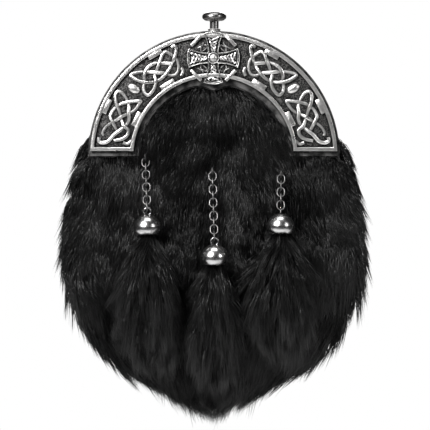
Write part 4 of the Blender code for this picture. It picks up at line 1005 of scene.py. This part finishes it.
on_left, is_high = roots[:, 0] < 0, roots[:, 2] >= FUR_SPLIT
fur_parts = (
    ("fur_upper_left", on_left & is_high),
    ("fur_upper_right", ~on_left & is_high),
    ("fur_lower_left", on_left & ~is_high),
    ("fur_lower_right", ~on_left & ~is_high),
)
for name, chosen in fur_parts:
    hair = hair_mesh(name, roots[chosen], elbows[chosen], tips[chosen], widths[chosen],
                     lock_normals[hair_lock][chosen], hair_tones_and_sheen[chosen])
    hair.data.materials.append(black_fur)
    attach(hair, "sporran")
    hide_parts("fur_front")


# Tassels
# Three bunches of the same fur hang from the polished caps. Each is gathered inside its cap and swells
# below it, long hair over a core of dense underfur.

TASSEL_LOCKS = 620
HAIRS_A_TASSEL_LOCK = 17
TASSEL_HAIR_LENGTH = 27.0 * MM


def tassel_side(places, normals):
    return normals[:, 2] < 0.8


for place_name in ("left", "middle", "right"):
    node_name = "tassel_fur_" + place_name
    pelt = pelt_from(node_name, "tassel_pelt_" + place_name, 5, 2.0 * MM)
    pelt.data.materials.clear()
    pelt.data.materials.append(underfur)
    surface = surface_of(pelt)
    low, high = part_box(node_name)
    middle = 0.5 * (low + high)
    places, normals = scatter(rng, surface, tassel_side, TASSEL_LOCKS)
    offsets = places - np.array((middle.x, middle.y, 0.0))
    outwards = unit(offsets * np.array((1.0, 1.0, 0.0)))
    fall = np.clip((high.z - places[:, 2]) / (high.z - low.z), 0, 1)
    way = along_surface(np.tile(np.array((0.0, 0.0, -1.0)), (TASSEL_LOCKS, 1)), normals)
    way = unit(way + rng.normal(0, 0.13, (TASSEL_LOCKS, 3)))
    length = TASSEL_HAIR_LENGTH * rng.uniform(0.7, 1.15, TASSEL_LOCKS)
    lift = (0.06 + 0.16 * fall + rng.normal(0, 0.05, TASSEL_LOCKS))[:, None]
    lock_end = places + length[:, None] * (way + lift * outwards)
    lock_of = np.repeat(np.arange(TASSEL_LOCKS), HAIRS_A_TASSEL_LOCK)
    total = len(lock_of)
    starts = places[lock_of] + rng.normal(0, 1.7 * MM, (total, 3)) - 1.5 * MM * normals[lock_of]
    own_ends = starts + (lock_end - places)[lock_of] * rng.uniform(0.8, 1.2, total)[:, None]
    ends = own_ends + 0.5 * (lock_end[lock_of] - own_ends) + rng.normal(0, 0.5 * MM, (total, 3))
    held_back(ends)
    elbow = starts + 0.42 * (ends - starts) + 1.3 * MM * outwards[lock_of]
    # Tone per lock and per hair at random: partly hair-to-hair tone, partly painted highlight on whole
    # locks.
    tone_and_sheen = np.clip(0.4 * rng.random(TASSEL_LOCKS)[lock_of] + 0.6 * rng.random(total), 0, 1)
    hair = hair_mesh("tassel_hair_" + place_name, starts, elbow, ends,
                     HAIR_WIDTH * rng.uniform(0.6, 1.25, total), outwards[lock_of], tone_and_sheen)
    hair.data.materials.append(black_fur)
    for piece in (pelt, hair):
        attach(piece, "sporran")
        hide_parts(node_name)


# The view
# The sporran hangs over a plain pale floor, lit by soft lamps from the left, the right, above and behind.
# The camera looks from a little above and to the right.

PHOTO_SCALE = 0.625 * MM
FRAME_PIXELS = 430
CAMERA_DISTANCE = 1.2
CAMERA_AZIMUTH = math.radians(2.0)
CAMERA_ELEVATION = math.radians(3.0)
VIEW_CENTRE = Vector((0.94 * MM, -20.0 * MM, -60.06 * MM))
SENSOR = 36.0
FLOOR_SIZE = 1.6
FLOOR_HEIGHT = -0.42

# Lamps: name, azimuth and elevation in degrees, distance, size, power
SOFTBOXES = (
    ("key_softbox", -34, 36, 0.9, (0.42, 0.42), 15.5),
    ("fill_softbox", 55, 20, 1.1, (0.22, 0.50), 3.5),
    ("top_softbox", 0, 80, 0.9, (0.6, 0.3), 3.0),
    ("rear_softbox", 180, 35, 1.2, (0.7, 0.7), 12.0),
)

bpy.ops.object.select_all(action="DESELECT")
level = math.cos(CAMERA_ELEVATION)
back_off = Vector((
    level * math.sin(CAMERA_AZIMUTH), -level * math.cos(CAMERA_AZIMUTH), math.sin(CAMERA_ELEVATION),
))
bpy.ops.object.camera_add(location=VIEW_CENTRE + CAMERA_DISTANCE * back_off)
camera = bpy.context.object
camera.rotation_euler = (math.pi / 2 - CAMERA_ELEVATION, 0, CAMERA_AZIMUTH)
camera.data.sensor_width = SENSOR
camera.data.lens = SENSOR * CAMERA_DISTANCE / (PHOTO_SCALE * FRAME_PIXELS)
bpy.context.scene.camera = camera

bpy.ops.mesh.primitive_plane_add(size=FLOOR_SIZE, location=(0, 0, FLOOR_HEIGHT))
ground = bpy.context.object
ground.name = "ground"
ground_paper, tree, shader = new_material("ground_paper")
shader.inputs["Base Color"].default_value = (0.92, 0.92, 0.92, 1)
shader.inputs["Roughness"].default_value = 0.9
ground.data.materials.append(ground_paper)


def softbox(name, azimuth, elevation, distance, size, power):
    """A soft rectangular lamp that looks at the middle of the sporran."""
    a, e = math.radians(azimuth), math.radians(elevation)
    away = Vector((math.sin(a) * math.cos(e), -math.cos(a) * math.cos(e), math.sin(e)))
    bpy.ops.object.light_add(type="AREA", location=VIEW_CENTRE + distance * away)
    lamp = bpy.context.object
    lamp.name = name
    lamp.data.shape = "RECTANGLE"
    lamp.data.size, lamp.data.size_y = size
    lamp.data.energy = power
    lamp.rotation_euler = (-away).to_track_quat("-Z", "Y").to_euler()


for row in SOFTBOXES:
    softbox(*row)

world = bpy.data.worlds.new("studio")
bpy.context.scene.world = world
world.use_nodes = True
tree = world.node_tree
tree.nodes.clear()
path = add_node(tree, "LightPath").outputs["Is Camera Ray"]
seen = add_node(tree, "Background", {"Color": (1, 1, 1, 1), "Strength": 1.0})
lit = add_node(tree, "Background", {"Color": (1, 1, 1, 1), "Strength": 0.03})
both = add_node(tree, "MixShader", {"Fac": path, 1: lit.outputs[0], 2: seen.outputs[0]})
add_node(tree, "OutputWorld", {"Surface": both.outputs[0]})
bpy.context.scene.view_settings.view_transform = "Standard"
